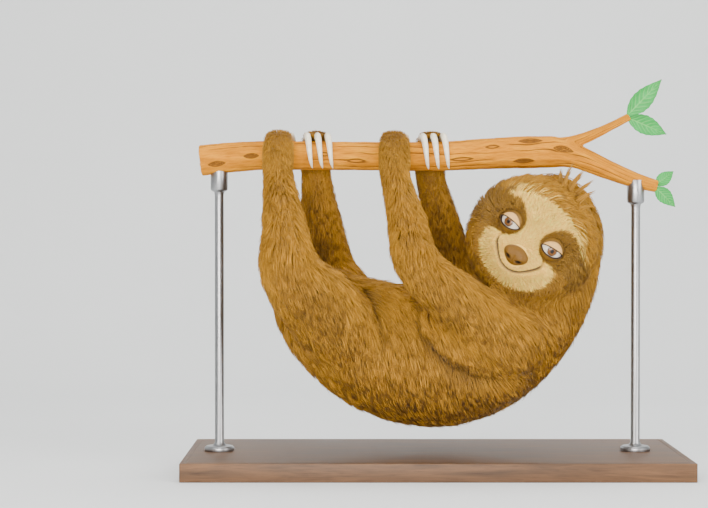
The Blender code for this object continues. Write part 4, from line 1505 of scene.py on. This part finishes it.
def make_leaf(number):
    """A pointed leaf, cupped along a raised midrib, with side veins that lift its blade into soft ridges."""
    foot, way, length, width = LEAVES[number - 1]
    foot, way = np.array(foot), unit(np.array(way))
    side = unit(np.cross((0.0, -1.0, 0.0), way))
    lift = np.cross(way, side)
    rows, cols = 72, 40
    t = np.linspace(0, 1, rows + 1)[:, None]
    share = np.linspace(-1, 1, cols + 1)[None]
    aside = np.abs(share)
    half = width / 2 * np.maximum(np.sin(math.pi * t**0.8), 0.06)
    half = half * (1 + 0.025 * np.sin(t * 46 + number))
    bend = 0.16 * width * share**2 * np.sin(math.pi * t) - 0.10 * length * t**2
    # Veins leave the midrib at a slant
    phase = (t - 0.24 * aside**1.2) * 8.5
    vein = bell(((phase + 0.5) % 1.0) - 0.5, 0.10) * np.clip(aside * 6, 0, 1) * (1 - aside**4)
    rib = bell(share, 0.07) * (1 - 0.7 * t)
    pillow = 0.00022 * np.cos(phase * 2 * math.pi + math.pi) * (1 - aside**3)
    relief = pillow - 0.00022 * vein - 0.0003 * rib
    mid = foot + way * (length * t)[..., None] + side * (half * share)[..., None] + lift * bend[..., None]
    thick = 0.0003 + 0.0002 * (1 - share**2)
    top = mid + lift * (thick + relief)[..., None]
    low = mid - lift * (thick - pillow + 0.0005 * rib)[..., None]
    size = (rows + 1) * (cols + 1)
    points = np.vstack((top.reshape(-1, 3), low.reshape(-1, 3)))
    index = np.arange(size).reshape(rows + 1, cols + 1)
    a, b, c, d = (part.ravel() for part in (index[:-1, :-1], index[1:, :-1], index[1:, 1:], index[:-1, 1:]))
    edge = np.concatenate((index[0, :-1], index[:-1, -1], index[-1, :0:-1], index[:0:-1, 0]))
    after = np.roll(edge, -1)
    faces = [(a, b, c, d), (d + size, c + size, b + size, a + size), (edge, after, after + size, edge + size)]
    thing = mesh_object(f"leaf_{number}", points, np.vstack([np.stack(corners, axis=1) for corners in faces]))
    right_side_out(thing)
    green, light, rib_green = np.array(LEAF_GREENS)
    blade = green + (light - green) * np.clip(0.55 + 0.5 * speckle(points, 120.0), 0, 1)[:, None]
    lines = np.clip(np.tile((vein * 0.8 + rib).ravel(), 2), 0, 1)
    paint(thing.data, "markings", np.clip(mixed(blade, rib_green, lines), 0, 1))
    thing.data.shade_smooth()
    return settled(thing, "leaf", f"perch_leaf_{number}")


# ---------------------------------------------------------------- stand and stage


# Groove round the board's top: how far from the edge, width of each slope, depth
GROOVE_FROM_EDGE, GROOVE_SLOPE, GROOVE_DEEP = 0.0060, 0.0012, 0.0010
# A rod's profile: (height, radius) from the board, and from the cradle's top
ROD_FLANGE = ((0.0, 0.0180), (0.0040, 0.0180), (0.0060, 0.0160), (0.0064, 0.0085), (0.0105, 0.0056))
ROD_CRADLE = ((-0.0300, 0.0055), (-0.0255, 0.0062), (-0.0236, 0.0096), (-0.0220, 0.0105), (0.004, 0.0105))
# Lights: name, place, width of the disk, power and colour, all turned to one place
LAMPS = (
    ("key_light", (-1.5, -2.3, 2.1), 1.7, 60.0, (1.0, 0.965, 0.91)),
    ("fill_light", (2.1, -1.8, 1.1), 1.9, 74.0, (1.0, 0.975, 0.94)),
    ("top_light", (0.1, 0.5, 2.6), 1.8, 50.0, (1.0, 0.99, 0.97)),
    ("low_light", (-0.3, -2.6, 0.20), 1.6, 134.0, (1.0, 0.965, 0.92)),
)
LIT_PLACE = (-0.02, -0.01, 0.25)
SKY_COLOUR, SKY_STRENGTH = (0.93, 0.96, 1.0, 1.0), 0.80
CAMERA_AT, CAMERA_TILT, CAMERA_LENS = (-0.0976, -2.4, 0.3023), 89.05, 100.0


def make_base(finish):
    """The board: a block with a groove round its top and rounded edges."""
    low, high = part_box("stand_base")
    only()
    bpy.ops.mesh.primitive_cube_add(size=1.0, location=(low + high) / 2)
    thing = bpy.context.active_object
    thing.name = thing.data.name = "base_board"
    thing.scale = high - low
    bpy.ops.object.transform_apply(location=True, rotation=True, scale=True)
    bpy.ops.object.mode_set(mode="EDIT")
    form = bmesh.from_edit_mesh(thing.data)
    for face in form.faces:
        face.select_set(face.normal.z > 0.9)
    bmesh.update_edit_mesh(thing.data)
    bpy.ops.mesh.inset(thickness=GROOVE_FROM_EDGE)
    for depth in (-GROOVE_DEEP, GROOVE_DEEP):
        bpy.ops.mesh.inset(thickness=GROOVE_SLOPE)
        bpy.ops.transform.translate(value=(0, 0, depth))
    bpy.ops.object.mode_set(mode="OBJECT")
    applied(thing, "BEVEL", width=0.0011, segments=3, limit_method="ANGLE", angle_limit=math.radians(20))
    bpy.ops.object.shade_smooth_by_angle(angle=math.radians(35))
    finish.on(thing)
    return settled(thing, "stand_board", "stand_base")


def make_rod(name, finish):
    """A turned steel rod: a flange on the board, a slim shaft, and a cradle that the branch lies in."""
    low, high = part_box(name)
    centre, foot, top = (low + high) / 2, low.z, high.z - low.z
    profile = [*ROD_FLANGE, *((top + below, radius) for below, radius in ROD_CRADLE)]
    only()
    place = (centre.x, centre.y, foot)
    bpy.ops.mesh.primitive_circle_add(vertices=64, radius=profile[0][1], fill_type="NGON", location=place)
    thing = bpy.context.active_object
    thing.name = thing.data.name = name + "_turned"
    bpy.ops.object.mode_set(mode="EDIT")
    bpy.ops.mesh.select_all(action="SELECT")
    for (before, wide), (after, next_wide) in zip(profile, profile[1:]):
        bpy.ops.mesh.extrude_region_move(TRANSFORM_OT_translate={"value": (0, 0, after - before)})
        share = next_wide / wide
        bpy.ops.transform.resize(value=(share, share, 1), center_override=(centre.x, centre.y, foot + after))
    bpy.ops.mesh.select_all(action="SELECT")
    bpy.ops.mesh.normals_make_consistent(inside=False)
    bpy.ops.object.mode_set(mode="OBJECT")
    bpy.ops.object.transform_apply(location=True, rotation=True, scale=True)
    cutter = linked("cut", frame["nodes"]["perch_branch"].data.copy())
    right_side_out(cutter)
    applied(thing, "BOOLEAN", object=cutter, operation="DIFFERENCE", solver="EXACT")
    bpy.data.objects.remove(cutter)
    applied(thing, "BEVEL", width=0.0004, segments=2, limit_method="ANGLE", angle_limit=math.radians(40))
    bpy.ops.object.shade_smooth_by_angle(angle=math.radians(40))
    finish.on(thing)
    return settled(thing, "stand_steel", name)


def make_floor(colour):
    """A pale floor that bends up into the backdrop."""
    only()
    bpy.ops.mesh.primitive_plane_add(size=10.0, location=(0, -2.6, 0))
    floor = bpy.context.active_object
    floor.name = floor.data.name = "stage_floor"
    bpy.ops.object.transform_apply(location=True, rotation=True, scale=True)
    bpy.ops.object.mode_set(mode="EDIT")
    form = bmesh.from_edit_mesh(floor.data)
    for edge in form.edges:
        edge.select_set(all(vert.co.y > 2.0 for vert in edge.verts))
    bmesh.update_edit_mesh(floor.data)
    bpy.ops.mesh.extrude_region_move(TRANSFORM_OT_translate={"value": (0, 0, 4.5)})
    bpy.ops.object.mode_set(mode="OBJECT")
    applied(floor, "BEVEL", width=1.4, segments=24, limit_method="ANGLE")
    floor.data.shade_smooth()
    finish = Finish("pale_floor", roughness=0.85)
    spots = finish.noise(finish.place(), 3.0, 3.0)
    low = tuple(c * 0.985 for c in colour)
    finish.colour(finish.ramp(spots, (0.35, low), (0.65, tuple(colour))))
    finish.on(floor)


def make_stage(floor_colour, light):
    """The pale floor with its backdrop, the lights and the camera."""
    make_floor(floor_colour)
    for name, place, size, power, colour in LAMPS:
        lamp = bpy.data.lights.new(name, "AREA")
        lamp.shape, lamp.size, lamp.energy, lamp.color = "DISK", size, power * light, colour
        thing = linked(name, lamp)
        thing.location = place
        thing.rotation_euler = (Vector(LIT_PLACE) - Vector(place)).to_track_quat("-Z", "Y").to_euler()
    world = bpy.context.scene.world or bpy.data.worlds.new("studio")
    bpy.context.scene.world = world
    world.use_nodes = True
    background = world.node_tree.nodes["Background"]
    background.inputs["Color"].default_value = SKY_COLOUR
    background.inputs["Strength"].default_value = SKY_STRENGTH * light

    camera = bpy.data.cameras.new("camera")
    camera.lens, camera.sensor_width = CAMERA_LENS, 36.0
    thing = linked("camera", camera)
    thing.location = CAMERA_AT
    thing.rotation_euler = (math.radians(CAMERA_TILT), 0.0, 0.0)
    bpy.context.scene.camera = thing


# ---------------------------------------------------------------- finishes


PLAIN = (1.0, 1.0, 1.0)  # leaves a colour as it is


def skin_finish():
    finish = Finish("bare_skin", roughness=0.62, specular_ior_level=0.30)
    fine = finish.noise(finish.place(), 520.0, 4.0)
    finish.marked((0.10, 0.045, 0.02), finish.math("MULTIPLY", fine, 0.45))
    finish.bump(fine, 0.0004, 0.5)
    return finish


def hair_finish():
    finish = Finish("hair", roughness=0.58, specular_ior_level=0.22, sheen_weight=0.03, sheen_roughness=0.45)
    patches = finish.noise(finish.place(), 38.0, 3.0)
    finish.marked(finish.ramp(patches, (0.30, (0.80, 0.78, 0.74)), (0.68, PLAIN)))
    return finish


def eye_finish():
    finish = Finish("wet_eye", roughness=0.30, specular_ior_level=0.20)
    finish.coated(0.40, 0.03, 1.45)
    veins = finish.noise(finish.place(), 900.0, 3.0)
    finish.marked((0.35, 0.16, 0.10), finish.math("MULTIPLY", veins, 0.15))
    return finish


def nose_finish():
    finish = Finish("nose_leather", roughness=0.50, specular_ior_level=0.20)
    finish.coated(0.04, 0.30)
    place = finish.place()
    cells = finish.cells(place, 1150.0, feature="DISTANCE_TO_EDGE")
    fine = finish.noise(place, 900.0, 3.0)
    finish.marked(finish.ramp(cells, (0.0, (0.62, 0.60, 0.58)), (0.12, PLAIN)))
    finish.rough(fine, 0.42, 0.58)
    finish.bump(finish.math("MINIMUM", cells, 0.14), 0.0009, 0.6)
    return finish


def claw_finish():
    finish = Finish("horn", roughness=0.36, subsurface_weight=0.08, subsurface_scale=0.002)
    finish.coated(0.15, 0.25)
    fine = finish.noise(finish.place(), 420.0, 4.0, 0.6)
    finish.marked(finish.ramp(fine, (0.30, (0.86, 0.82, 0.74)), (0.62, PLAIN)))
    finish.rough(fine, 0.30, 0.48)
    finish.bump(fine, 0.0002, 0.4)
    return finish


def bark_finish():
    finish = Finish("bark", roughness=0.78, specular_ior_level=0.12)
    along = finish.add("Attribute", attribute_name="grain").outputs["Vector"]
    lines = finish.noise(finish.place((7.0, 90.0, 90.0), along), 12.0, 6.0, 0.62, 0.6)
    pores = finish.noise(finish.place(), 420.0, 4.0)
    shade = finish.ramp(lines, (0.30, (0.66, 0.60, 0.52)), (0.55, PLAIN))
    parts = finish.add("SeparateColor", {"Color": finish.attribute("furrows")}).outputs
    # A furrow lies where its wave crests, and a rim round each knot
    phase = [finish.math("SUBTRACT", parts[k], 0.5) for k in (1, 0)]
    wave = finish.math("ABSOLUTE", finish.math("ARCTAN2", *phase))
    wave = finish.add("MapRange", {"Value": wave, "From Min": 0.56, "From Max": 0.26}).outputs["Result"]
    wave = finish.math("MULTIPLY", wave, finish.attribute("carving"))
    edge = finish.math("ABSOLUTE", finish.math("SUBTRACT", parts[2], 0.5))
    edge = finish.add("MapRange", {"Value": edge, "From Min": 0.090, "From Max": 0.040}).outputs["Result"]
    carved = finish.math("MAXIMUM", wave, edge)
    base = finish.mix(1.0, finish.attribute("markings"), shade, "MULTIPLY")
    finish.colour(finish.mix(finish.math("MULTIPLY", carved, 0.90), base, FURROW_BROWN))
    finish.rough(pores, 0.66, 0.90)
    height = finish.math("ADD", lines, finish.math("MULTIPLY", pores, 0.3))
    finish.bump(finish.math("SUBTRACT", height, finish.math("MULTIPLY", carved, 0.8)), 0.0010, 0.7)
    return finish


def leaf_finish():
    finish = Finish("leaf", roughness=0.42, specular_ior_level=0.25)
    finish.coated(0.06, 0.35)
    cells = finish.cells(finish.place(), 700.0)
    finish.marked(finish.ramp(cells, (0.1, (0.90, 0.93, 0.84)), (0.7, PLAIN)))
    finish.bump(cells, 0.0002, 0.5)
    return finish


def board_finish(colour):
    finish = Finish("walnut", roughness=0.52, specular_ior_level=0.30)
    finish.coated(0.05, 0.30)
    long_way = finish.place((1.6, 22.0, 22.0))
    grain = finish.noise(long_way, 3.2, 8.0, 0.62, 1.4)
    pores = finish.noise(finish.place((30.0, 900.0, 900.0)), 1.0, 3.0)
    dark, pale = tuple(c * 0.45 for c in colour), tuple(min(1.0, c * 1.55) for c in colour)
    base = finish.ramp(grain, (0.28, dark), (0.50, tuple(colour)), (0.72, pale))
    shade = finish.ramp(pores, (0.34, (0.62, 0.58, 0.55)), (0.46, PLAIN))
    finish.colour(finish.mix(1.0, base, shade, "MULTIPLY"))
    finish.rough(grain, 0.45, 0.62)
    finish.bump(pores, 0.0002, 0.25)
    return finish


def steel_finish(colour):
    finish = Finish("brushed_steel", roughness=0.34, metallic=1.0)
    brush = finish.noise(finish.place((900.0, 900.0, 30.0)), 1.0, 4.0)
    base = finish.ramp(brush, (0.3, tuple(c * 0.86 for c in colour)), (0.7, tuple(colour)))
    finish.colour(base)
    finish.rough(brush, 0.26, 0.44)
    finish.bump(brush, 0.0001, 0.15)
    return finish


# ---------------------------------------------------------------- settings, operators and panel


def colour_property(name, description, default):
    return FloatVectorProperty(
        name=name, description=description, default=default, size=3, min=0, max=1, subtype="COLOR"
    )


def length_property(name, description, default):
    return FloatProperty(name=name, description=description, default=default, unit="LENGTH")


def count_property(name, description, default):
    return FloatProperty(name=name, description=description, default=default, min=0.0)


class SlothBodySettings(bpy.types.PropertyGroup):
    """Sizes and colours of the animal."""

    hair_length: length_property("Hair length", "Longest hair, on the trunk", 0.038)
    hair_width: length_property("Lock width", "Width of a lock on the trunk", 0.0016)
    hair_count: count_property("Locks per mm²", "How close the locks of the trunk grow", 0.285)
    face_length: length_property("Face hair", "Hair length at the edge of the face", 0.0068)
    face_count: count_property("Face locks per mm²", "How close the locks of the face grow", 0.94)
    crown_length: length_property("Crown tuft", "Length of the hairs on the crown", 0.041)
    coat: colour_property("Coat", "Hair of the body and the hood", (0.395, 0.184, 0.011))
    face: colour_property("Face", "Pale hair of the face", (0.980, 0.600, 0.115))
    stripe: colour_property("Eye stripe", "Dark hair round the eyes", (0.235, 0.115, 0.010))
    lid: colour_property("Lids", "Bare skin of the lids", (0.740, 0.420, 0.130))
    iris: colour_property("Iris", "Brown of the eyes", (0.150, 0.052, 0.004))


class SlothStageSettings(bpy.types.PropertyGroup):
    """Colours of the stand and the floor, the light, and the start of the random draws."""

    board: colour_property("Board", "Wood of the base", (0.100, 0.048, 0.020))
    steel: colour_property("Steel", "Rods of the stand", (0.34, 0.34, 0.35))
    floor: colour_property("Floor", "Floor and backdrop", (0.80, 0.82, 0.83))
    light: FloatProperty(name="Light", description="Strength of all the lights", default=1.0, min=0.0)
    seed: IntProperty(name="Seed", description="Start of the random draws for the hair", default=7)


def shades_of(settings):
    return {name: np.array(getattr(settings, name)) for name in ("coat", "face", "stripe", "lid", "iris")}


class SLOTH_OT_skin(bpy.types.Operator):
    """Makes the one skin over the whole body, with its lids"""

    bl_idname = "sloth.skin"
    bl_label = "Skin"

    def execute(self, context):
        skin = make_skin(shades_of(context.scene.sloth_body))
        skin_finish().on(skin)
        return {"FINISHED"}


class SLOTH_OT_coat(bpy.types.Operator):
    """Grows the coat over the skin: long hair, the short hair of the face and the tuft on the crown"""

    bl_idname = "sloth.coat"
    bl_label = "Coat"

    def execute(self, context):
        own, seed = context.scene.sloth_body, context.scene.sloth_stage.seed
        shades = shades_of(own)
        finish = hair_finish()
        pieces = make_long_coat(own.hair_length, own.hair_width, own.hair_count, seed, shades)
        pieces.append(make_face_coat(own.face_length, own.face_count, seed + 1, shades))
        pieces.append(make_crown_tuft(own.crown_length, seed + 2, shades))
        for piece in pieces:
            finish.on(piece)
            settled(piece, "coat")
        return {"FINISHED"}


class SLOTH_OT_eyes(bpy.types.Operator):
    """Makes both eyes"""

    bl_idname = "sloth.eyes"
    bl_label = "Eyes"

    def execute(self, context):
        finish = eye_finish()
        for name, side in SIDES.items():
            make_eye(name, side, tuple(context.scene.sloth_body.iris), finish)
        return {"FINISHED"}


class SLOTH_OT_nose(bpy.types.Operator):
    """Makes the nose pad"""

    bl_idname = "sloth.nose"
    bl_label = "Nose"

    def execute(self, context):
        make_nose(nose_finish())
        return {"FINISHED"}


class SLOTH_OT_claws(bpy.types.Operator):
    """Makes the twelve claws"""

    bl_idname = "sloth.claws"
    bl_label = "Claws"

    def execute(self, context):
        finish = claw_finish()
        for name in sorted(node for node in frame["nodes"] if "_claw_" in node):
            make_claw(name, finish)
        return {"FINISHED"}


class SLOTH_OT_branch(bpy.types.Operator):
    """Makes the cut branch"""

    bl_idname = "sloth.branch"
    bl_label = "Branch"

    def execute(self, context):
        bark_finish().on(make_branch())
        return {"FINISHED"}


class SLOTH_OT_leaves(bpy.types.Operator):
    """Makes the four leaves"""

    bl_idname = "sloth.leaves"
    bl_label = "Leaves"

    def execute(self, context):
        leaf_finish().on(*[make_leaf(number + 1) for number in range(len(LEAVES))])
        return {"FINISHED"}


class SLOTH_OT_stand(bpy.types.Operator):
    """Makes the board and the two rods that hold the branch"""

    bl_idname = "sloth.stand"
    bl_label = "Stand"

    def execute(self, context):
        own = context.scene.sloth_stage
        make_base(board_finish(own.board))
        finish = steel_finish(own.steel)
        for side in SIDES:
            make_rod(f"stand_rod_{side}", finish)
        return {"FINISHED"}


class SLOTH_OT_stage(bpy.types.Operator):
    """Sets the floor, the lights and the camera"""

    bl_idname = "sloth.stage"
    bl_label = "Stage"

    def execute(self, context):
        own = context.scene.sloth_stage
        make_stage(own.floor, own.light)
        return {"FINISHED"}


OPERATORS = (
    SLOTH_OT_stage,
    SLOTH_OT_stand,
    SLOTH_OT_branch,
    SLOTH_OT_leaves,
    SLOTH_OT_claws,
    SLOTH_OT_skin,
    SLOTH_OT_eyes,
    SLOTH_OT_nose,
    SLOTH_OT_coat,
)


class SLOTH_PT_panel(bpy.types.Panel):
    """Lists the settings and the pieces"""

    bl_idname = "SLOTH_PT_panel"
    bl_label = "Three-toed sloth"
    bl_space_type = "VIEW_3D"
    bl_region_type = "UI"
    bl_category = "Sloth"

    def draw(self, context):
        for group in (context.scene.sloth_body, context.scene.sloth_stage):
            box = self.layout.box()
            for name in group.__annotations__:
                box.prop(group, name)
        for operator in OPERATORS:
            self.layout.operator(operator.bl_idname)


CLASSES = (SlothBodySettings, SlothStageSettings, *OPERATORS, SLOTH_PT_panel)


def register():
    for cls in CLASSES:
        bpy.utils.register_class(cls)
    bpy.types.Scene.sloth_body = PointerProperty(type=SlothBodySettings)
    bpy.types.Scene.sloth_stage = PointerProperty(type=SlothStageSettings)


def unregister():
    del bpy.types.Scene.sloth_stage
    del bpy.types.Scene.sloth_body
    for cls in reversed(CLASSES):
        bpy.utils.unregister_class(cls)


def main():
    register()
    for operator in OPERATORS:
        getattr(bpy.ops.sloth, operator.bl_idname.split(".")[1])()


if __name__ == "__main__":
    main()
